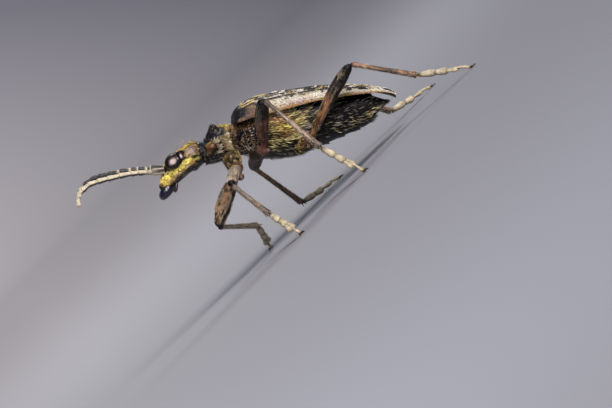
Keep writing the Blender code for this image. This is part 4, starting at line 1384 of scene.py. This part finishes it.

# %% [markdown]
# Leg markings: thighs are red-brown at the hip and darken to the knee, with pale hair in
# streaks along them; the near fore thigh is pale all over. Shins are tan under thin grey hair
# and dark at the knee; feet are beige with dense pads. The lower side of the other thighs and
# of the feet is painted darker, as painted shade.

# %% Leg markings
THIGHS = {  # colour, its share in the dark streaks, where it turns grey, strength of its hair
    "front": (mixed(TAN, DUN, 0.4) * 0.85, 0.15, (0.6, 1.15), 1.15),
    "front_left": (mixed(DUN, ROSE, 0.35) * 0.7, 0.6, (1.0, 1.5), 1.15),
    "mid": (RUST, 0.4, (0.56, 0.74), 0.15),
    "hind": (mixed(RUST, ORANGE, 0.25) * 1.15, 0.22, (0.44, 0.66), 0.75),
}


def streaked(points, seed, route_way):
    """Noise drawn out along the leg."""
    along = (points @ route_way)[:, None] * route_way
    return noise(points - along * 0.85, 0.13, seed)


def underside(t, low, high):
    """1 on the lower side of a limb, where painted shade is laid."""
    return soft(-np.sin(2 * math.pi * t), low, high)


def thigh_paint(s, t, points, tone, way, strength):
    base, low, turns, _ = THIGHS[tone]
    streak = 0.6 * streaked(points, 71, way) + 0.4 * noise(points, 0.3, 70)
    grey = mixed(SLATE * 0.2, SLATE, patchy(points, 0.16, 82, -0.3, 0.3)) * strength
    return layered(mixed(base * low, base * 1.15, soft(streak, -0.25, 0.2)),
                   (grey, soft(s, *turns) * 0.95),
                   # The thigh's lower side is painted darker, as painted shade; the near fore thigh is
                   # left out.
                   (BLACK, underside(t, 0.2, 0.8) * 0.55 * (tone != "front_left")),
                   (BLACK, soft(s, 0.925, 0.945)))


def leg_hair_paint(s, t, points):
    straw = mixed(STRAW, ROSE, 0.35) * 0.85
    return mixed(GREY_HAIR * 0.7, straw, patchy(points, 0.5, 72, -0.5, 0.5))


def shin_paint(s, t, points, way, pale, warm):
    streak = soft(streaked(points, 73, way), -0.5, 0.4)
    streak *= 1 - 0.6 * patchy(points, 0.22, 78, 0.1, 0.4)
    tan = mixed(DUN * 0.75, TAN * (0.75 + 0.4 * pale), warm)
    dusty = mixed(ROSE, GREY_HAIR, 0.5) * (0.12 + 0.6 * streak[:, None])
    return layered(mixed(TAN * 0.12, tan, streak),
                   (dusty, pale * 0.7),
                   (SLATE, soft(s, 0.75, 0.95) * 0.5 * (1 - pale * 0.5)),
                   (BLACK, bump(s, 0.02, 0.035) * 0.95))


def foot_paint(s, t, points):
    return layered(mixed(TAN * 0.15, mixed(STRAW, CREAM, 0.5) * 0.6, soft(s, 0.05, 0.4)),
                   (TAN * 0.4, soft(s, 0.85, 1.0)),
                   # The pads' lower side is painted darker, as painted shade.
                   (BROWN_BLACK, underside(t, 0.1, 0.9) * 0.5))


print("strength of the thighs' hair:", {tone: row[-1] for tone, row in THIGHS.items()})

# %% [markdown]
# Leg finishes are the same pitted chitin with finer pits. A foot's joints are short limbs of
# their own: two heart-shaped pads, two lobes and the thin last joint. Each claw is drawn out
# along a curve that lies on its foot's way.

# %% Leg finishes and feet
thigh_chitin = pitted_chitin("thigh_chitin", pit_spacing=0.09, rough=0.46, pit_shade=0.7,
                             sheen=0.15)
shin_chitin = pitted_chitin("shin_chitin", pit_spacing=0.08, rough=0.5, pit_shade=0.6)
hip_chitin = pitted_chitin("hip_chitin", pit_spacing=0.1, pit_depth=0.05, rough=0.5,
                           pit_shade=0.4, sheen=0.2)
foot_chitin = pitted_chitin("foot_chitin", pit_spacing=0.07, rough=0.6, pit_shade=0.7)
claw_horn = horn_finish("claw_horn", "#140D09", "#3A2312", 0.3)
PADS = ((0.0, 0.37, 0.12, 0.25, 0.22), (0.29, 0.58, 0.14, 0.27, 0.22))
LOBE_SPAN, LOBE_OUT, LOBE_WIDTH = (0.5, 0.79), (0.06, 0.2), 0.18
LAST_JOINT = ((0, 0.06), (0.4, 0.07), (0.8, 0.11), (1, 0.12))
CLAW = ((0.0, 0.05, 0.0), (0.14, 0.12, 0.03), (0.28, 0.19, -0.01), (0.38, 0.2, -0.09))
CLAW_RADII = (0.1, 0.08, 0.055, 0.012)
HEEL_PLACE = {"front_left": 0.4}  # share of the way to the knee
HEEL_OUT = np.array((0.13, 0.0, -0.34))


def hip_paint(s, t, points):
    gold = mixed(OCHRE, GOLD, patchy(points, 0.3, 74, -0.4, 0.4)) * 0.15
    return layered(BLACK, (gold, 0.5 * (1 - soft(s, 0.4, 0.7))), (RUST * 0.7, soft(s, 0.6, 0.85)))


def hip_hair_paint(s, t, points, pair):
    dark, pale = (SLATE, GREY_HAIR * 0.7) if pair == "mid" else (OCHRE * 0.5, mixed(GOLD, STRAW, 0.4))
    return mixed(dark, pale, patchy(points, 0.16, 77, -0.4, 0.4))


def bead_paint(s, t, points):
    return mixed(RUST * 0.45, ROSE * 0.25, patchy(points, 0.2, 79, 0, 0.6))


def foot_pieces(ankle, toe):
    """Skins of a foot: two pads, two lobes and the thin last joint, with its claws."""
    toe[2] = FOOT_HEIGHT
    foot = toe - ankle
    flat = unit(np.array((foot[0], foot[1], 0)))
    across = np.array((-flat[1], flat[0], 0))
    skins = []
    for begin, end, narrow, wide, deep in PADS:
        width = ((0, narrow), (0.35, wide * 0.8), (0.7, wide), (1, wide * 0.6))
        skins.append(limb(line(ankle + foot * begin, ankle + foot * end),
                          round_ends(width, 0.1, 0.16), deep / wide * 1.1))
    for side in SIDES.values():
        ends = [ankle + foot * share + across * side * out
                for share, out in zip(LOBE_SPAN, LOBE_OUT)]
        width = ((0, 0.1), (0.3, 0.13), (0.75, LOBE_WIDTH), (1, 0.1))
        skins.append(limb(line(*ends, bow=0.03), round_ends(width, 0.2, 0.3), 0.7))
    start = ankle + foot * 0.58 + UP * 0.05
    skins.append(limb(line(start, toe, bow=0.1), round_ends(LAST_JOINT, 0.05, 0.1)))
    claws = [drawn_out("claw", [toe + flat * ahead + across * side * out + UP * up
                                for ahead, out, up in CLAW], CLAW_RADII, sides=8)
             for side in SIDES.values()]
    return skins, claws


print("a foot has", len(PADS), "pads, and its lobes end", LOBE_SPAN[1], "of the way to the toe")

# %% [markdown]
# A shin ends in two spurs, and a thigh hangs on red beads at the hip. They are small limbs and
# horns as above. The coats of a leg differ in length and lift, so their sizes stand in one
# table, and thigh hair is parted in streaks that show the shell between.

# %% Spurs, beads and the coats of a leg
COATS = {"hip": dict(length=0.26, width=0.026, lift=0.15, spread=0.4, tint=0.6),
         "thigh": dict(length=0.26, width=0.024, lift=0.06, spread=0.1),
         "shin": dict(length=0.2, width=0.022, lift=0.16, spread=0.12),
         "foot": dict(length=0.1, width=0.02, lift=0.06, spread=0.15)}
foot_hair_paint = plain(mixed(STRAW, CREAM, 0.4) * 0.5)


def spur(ankle, way, side):
    """One of the two short spikes at the end of a shin."""
    out = unit(np.cross(way, UP)) * side
    route = [ankle - way * 0.05, ankle + way * 0.2 + out * 0.1, ankle + way * 0.42 + out * 0.16]
    spike = drawn_out("spur", route, (0.07, 0.05, 0.01), sides=6)
    painted(spike.data, TAN * 0.4)
    return spike


def hip_density(s, t, points):
    return (1 - soft(s, 0.75, 0.9)) * patchy(points, 0.25, 76, -0.2, 0.2)


def thigh_density(s, t, points, way, parted):
    drawn = soft(streaked(points, 75, way), parted - 0.2, parted + 0.3)
    return drawn * (0.3 + 0.7 * soft(s, 0.2, 0.5)) * (1 - soft(s, 0.84, 0.9))


def bead_skins(label, hip, knee):
    """Skins of the red beads: one where the thigh is hung, and on one leg its heel."""
    way = unit(knee - hip)
    beads = [(line(hip - way * 0.28 + UP * 0.02, hip + way * 0.42), ((0, 0.3), (0.5, 0.36), (1, 0.26)))]
    if label in HEEL_PLACE:
        heel = hip + (knee - hip) * HEEL_PLACE[label] + HEEL_OUT
        beads.append((line(heel - way * 0.24, heel + way * 0.24), ((0, 0.2), (0.5, 0.27), (1, 0.2))))
    return [limb(route, round_ends(width, 0.4, 0.4)) for route, width in beads]


print("leg hair is", [size["length"] for size in COATS.values()], "mm long")

# %% [markdown]
# The legs are put together in one loop: the hip with its red beads, the thigh, the shin with
# its two spurs, the foot and its claws. Then all hair of a leg is joined to one coat, with a
# strip of its map for each skin.

# %% Legs
SHADED = {"mid_right": 0.4}  # this thigh lies in the body's shade
SHIN_PALE = {"mid_left": 1.0, "hind_left": 0.35}  # how pale the shins' hair lies, else 0.1
PARTED = {"mid": 0.6, "hind": 0.25}  # how far the thighs' hair is parted, else not

for number, (label, places) in enumerate(LEGS.items()):
    pair = label.split("_")[0]
    tone = label if label in THIGHS else pair
    root, hip, knee, ankle, toe = (np.array(place) for place in places)
    thigh_way, shin_way = unit(knee - hip), unit(ankle - knee)
    hip_route = line(body(*root), hip + thigh_way * 0.15)
    hip_skin = limb(hip_route, round_ends(HIP_WIDTH, 0.1, 0.12))
    hips = [wrapped("hip", hip_skin, 60, 48, hip_paint,
                    lambda s, t, points: soft(s, 0.6, 0.8) * 0.7)]
    hips += [wrapped("bead", skin, 30, 36, bead_paint, lambda s, t, points: np.full(len(s), 0.4))
             for skin in bead_skins(label, hip, knee)]
    done(joined("hip_" + label, hips), "coxa", hip_chitin, "coxa_" + label)
    thigh_skin = limb(line(hip, knee, THIGH_BOW), round_ends(THIGH_WIDTH[tone], 0.04, 0.07))
    thigh = wrapped("thigh_" + label, thigh_skin, 110, 64,
                    partial(thigh_paint, tone=tone, way=thigh_way, strength=SHADED.get(label, 1.0)))
    done(thigh, "femur", thigh_chitin, "femur_" + label)
    shin_skin = limb(line(knee, ankle), round_ends(SHIN_WIDTH, 0.04, 0.04))
    shins = [wrapped("shin", shin_skin, 140, 36,
                     partial(shin_paint, way=shin_way, pale=SHIN_PALE.get(label, 0.1),
                             warm=float(pair != "front")))]
    shins += [spur(ankle, shin_way, side) for side in SIDES.values()]
    done(joined("shin_" + label, shins), "tibia", shin_chitin, "tibia_" + label)
    foot_skins, claws = foot_pieces(ankle, toe)
    pads = [wrapped("pad", skin, 36, 28, foot_paint) for skin in foot_skins]
    done(joined("foot_" + label, pads), "tarsus", foot_chitin, "tarsus_" + label)
    done(joined("claws_" + label, claws), "tarsus", claw_horn)
    coats = [("hip", hip_skin, 600, 80 + number, partial(hip_hair_paint, pair=pair), hip_density),
             ("thigh", thigh_skin, 1300, 90 + number, dimmed(leg_hair_paint, THIGHS[tone][-1]),
              partial(thigh_density, way=thigh_way, parted=PARTED.get(pair, 0.0))),
             ("shin", shin_skin, 700, 100 + number, leg_hair_paint,
              lambda s, t, points: soft(s, 0.02, 0.1) * 0.8)]
    coats += [("foot", skin, 200, 110 + number * 5 + k, foot_hair_paint,
               lambda s, t, points: soft(s, 0.05, 0.35)) for k, skin in enumerate(foot_skins)]
    hair = [tufts("hair", *numbers, strip=(k, len(coats)), **COATS[kind])
            for k, (kind, *numbers) in enumerate(coats)]
    done(joined("leg_hair_" + label, hair), "femur", down)

# %% [markdown]
# The little shield between the wing cases is a three-sided plate. It starts as a triangle,
# is extruded down, bevelled and rounded.

# %% Shield between the wing cases
SHIELD_CORNERS, SHIELD_LOW, SHIELD_THICK, SHIELD_EDGE = (
    ((-0.28, 0.42), (-0.28, -0.42), (1.0, 0.0)), 0.2, 0.3, 0.06)


def small_shield():
    """A triangle between the wing cases, extruded down and bevelled."""
    plate = added("shield", bpy.ops.mesh.primitive_circle_add, vertices=3, radius=MM,
                  fill_type="NGON")
    for vert, (u, v) in zip(plate.data.vertices, SHIELD_CORNERS):
        top = float(through(CASE_CROWN, u)) - SHIELD_LOW
        vert.co = (body(u, v, top) - STANCE_CENTRE) * MM
    down_way = Vector((body(0, 0, -SHIELD_THICK) - body(0, 0, 0)) * MM)
    bpy.ops.object.mode_set(mode="EDIT")
    bpy.ops.mesh.select_all(action="SELECT")
    bpy.ops.mesh.extrude_region_move(TRANSFORM_OT_translate={"value": down_way})
    bpy.ops.mesh.select_all(action="SELECT")
    bpy.ops.mesh.normals_make_consistent(inside=False)
    bpy.ops.mesh.bevel(offset=SHIELD_EDGE * MM, segments=3, affect="EDGES")
    bpy.ops.object.mode_set(mode="OBJECT")
    bpy.ops.object.shade_smooth_by_angle(angle=math.radians(40))
    painted(plate.data, DUN * 0.25)
    return plate


done(small_shield(), "thorax", hip_chitin)

# %% [markdown]
# A plain studio: one pale sheet runs from the floor up into the back wall, so no horizon
# shows. Its card has a painted shade from pale to deeper grey up the picture, and painted light
# that makes it paler again towards the back, because the far part gets less of the light. The
# sheet is built from a few rows of points, as its profile is a line, an arc and a line.

# %% Floor and backdrop
SWEEP_WIDTH, SWEEP_NEAR, SWEEP_FAR, SWEEP_BEND, SWEEP_HEIGHT = 1400, -700, 450, 200, 600
# The card's painted shade deepens up the picture, and painted light makes it paler at the back.
SHADE_WAY, SHADE_SPAN = (0.7, 0.037, 0.7), (-14, 34)  # up in the picture, in mm
FAR_SPAN, FAR_PAINTED_LIGHT = (-20, 220), 1.5  # the card is this much paler at the back


def studio_sweep():
    """A sheet that runs from the floor up into the back wall."""
    sheet = added("studio_sweep", bpy.ops.mesh.primitive_plane_add, size=1)
    route = [(SWEEP_NEAR, 0.0), (SWEEP_FAR, 0.0)]
    route += [(SWEEP_FAR + SWEEP_BEND * math.sin(a), SWEEP_BEND * (1 - math.cos(a)))
              for a in np.linspace(0, math.pi / 2, 25)[1:]]
    route.append((SWEEP_FAR + SWEEP_BEND, SWEEP_HEIGHT))
    bm = bmesh.new()
    rows = [[bm.verts.new((x * SWEEP_WIDTH / 2 * MM, y * MM, z * MM)) for x in (-1, 1)]
            for y, z in route]
    for near, far in zip(rows, rows[1:]):
        bm.faces.new((near[0], near[1], far[1], far[0]))
    bm.to_mesh(sheet.data)
    bm.free()
    sheet.data.shade_smooth()
    return sheet


def painted_shade_card(name):
    """Matt grey card with painted shade up the picture and painted light at the back, with no shine."""
    material, tree, place = new_material(name)
    # Painted shade: darker towards the top of the picture; painted light: paler towards the back.
    shade_height = node(tree, "VectorMath", {0: place, 1: SHADE_WAY}, operation="DOT_PRODUCT")
    share = node(tree, "MapRange", {"Value": shade_height.outputs["Value"], "From Min": SHADE_SPAN[0] * MM,
                                    "From Max": SHADE_SPAN[1] * MM})
    tone = node(tree, "Mix", {"Factor": share.outputs[0], "A": for_socket("#9B9EA6"),
                              "B": for_socket("#60636E")}, data_type="RGBA")
    depth = node(tree, "SeparateXYZ", {"Vector": place}).outputs["Y"]
    gain = node(tree, "MapRange", {"Value": depth, "From Min": FAR_SPAN[0] * MM,
                                   "From Max": FAR_SPAN[1] * MM, "To Min": 1.0, "To Max": FAR_PAINTED_LIGHT},
                interpolation_type="SMOOTHSTEP")
    paler = node(tree, "VectorMath", {0: tone.outputs["Result"], "Scale": gain.outputs[0]},
                 operation="SCALE")
    return shaded(material, {"Base Color": paler.outputs[0], "Roughness": 0.9,
                             "Specular IOR Level": 0.1})


sweep = studio_sweep()
sweep.data.materials.append(painted_shade_card("matt_card_painted_shade"))
print("the sweep is", SWEEP_WIDTH, "mm wide and", SWEEP_HEIGHT, "mm high")

# %% [markdown]
# The camera looks along the floor at the beetle's left side, a little from above. It is
# rolled, so that the body, which is raised over the level floor, lies level in the picture.
# A long lens keeps the near and the far legs the same size, as in a close-up from far off.

# %% Camera at the photograph's angle
PHOTO_WIDTH, PHOTO_PIXEL = 612, 0.07  # the view is 612 pixels of 0.07 mm wide
ROLL, ELEVATION, LENS, SENSOR = math.radians(44.5), math.radians(3), 300.0, 36.0
AIM = np.array((-2.01, 0.0, 0.94))
forward = Vector((0, math.cos(ELEVATION), -math.sin(ELEVATION)))
level, upright = Vector((1, 0, 0)), Vector((0, math.sin(ELEVATION), math.cos(ELEVATION)))
right = level * math.cos(ROLL) - upright * math.sin(ROLL)
above = level * math.sin(ROLL) + upright * math.cos(ROLL)
away = PHOTO_WIDTH * PHOTO_PIXEL * LENS / SENSOR * MM
camera_data = bpy.data.cameras.new("camera")
camera_data.lens, camera_data.sensor_width = LENS, SENSOR
camera_data.clip_start, camera_data.clip_end = 0.01, 10
camera = bpy.data.objects.new("camera", camera_data)
bpy.context.scene.collection.objects.link(camera)
place = Vector((AIM - STANCE_CENTRE) * MM) - forward * away
turned = Matrix((right, above, -forward)).transposed().to_4x4()
camera.matrix_world = Matrix.Translation(place) @ turned
bpy.context.scene.camera = camera
print("camera stands", round(place.z / MM, 1), "mm above the floor")

# %% [markdown]
# One very large soft light stands far off, in front of the head and above, so that it lights
# floor and beetle evenly and gives each lobe of the eye one broad highlight. Two weak ones
# add a cool edge, and a dim grey world fills the shadows. The standard view keeps the card
# and the cream hair as pale as they are meant to be.

# %% Lights
def soft_light(name, place, aim, size, watts, colour):
    data = bpy.data.lights.new(name, "AREA")
    data.shape, data.size, data.energy = "DISK", size * MM, watts
    data.color = linear(colour)
    light = bpy.data.objects.new(name, data)
    light.location = Vector(place) * MM
    light.rotation_euler = (Vector(aim) * MM - light.location).to_track_quat("-Z", "Y").to_euler()
    bpy.context.scene.collection.objects.link(light)


soft_light("key", (1380, -2670, 2070), (-2, 0, 7), 1680, 186.0, "#FFF3EC")
soft_light("second", (-30, -190, 110), (-6, 0, 8), 60, 0.1, "#E4ECFF")
soft_light("rim", (60, 90, 120), (0, 0, 6), 70, 0.1, "#FFFFFF")
world = bpy.data.worlds.new("studio")
world.use_nodes = True
plugged(world.node_tree, world.node_tree.nodes["Background"],
        {"Color": for_socket("#C9CBD4"), "Strength": 0.09})
bpy.context.scene.world = world
bpy.context.scene.view_settings.view_transform = "Standard"
print(len(bpy.data.lights), "lights:", sorted(light.name for light in bpy.data.lights))

# %% [markdown]
# Last, the number of pieces and of their faces. Hair and skins must stay within the
# solids' box, give or take a hair.

print(len(made), "pieces,", sum(len(piece.data.polygons) for piece in made), "faces")
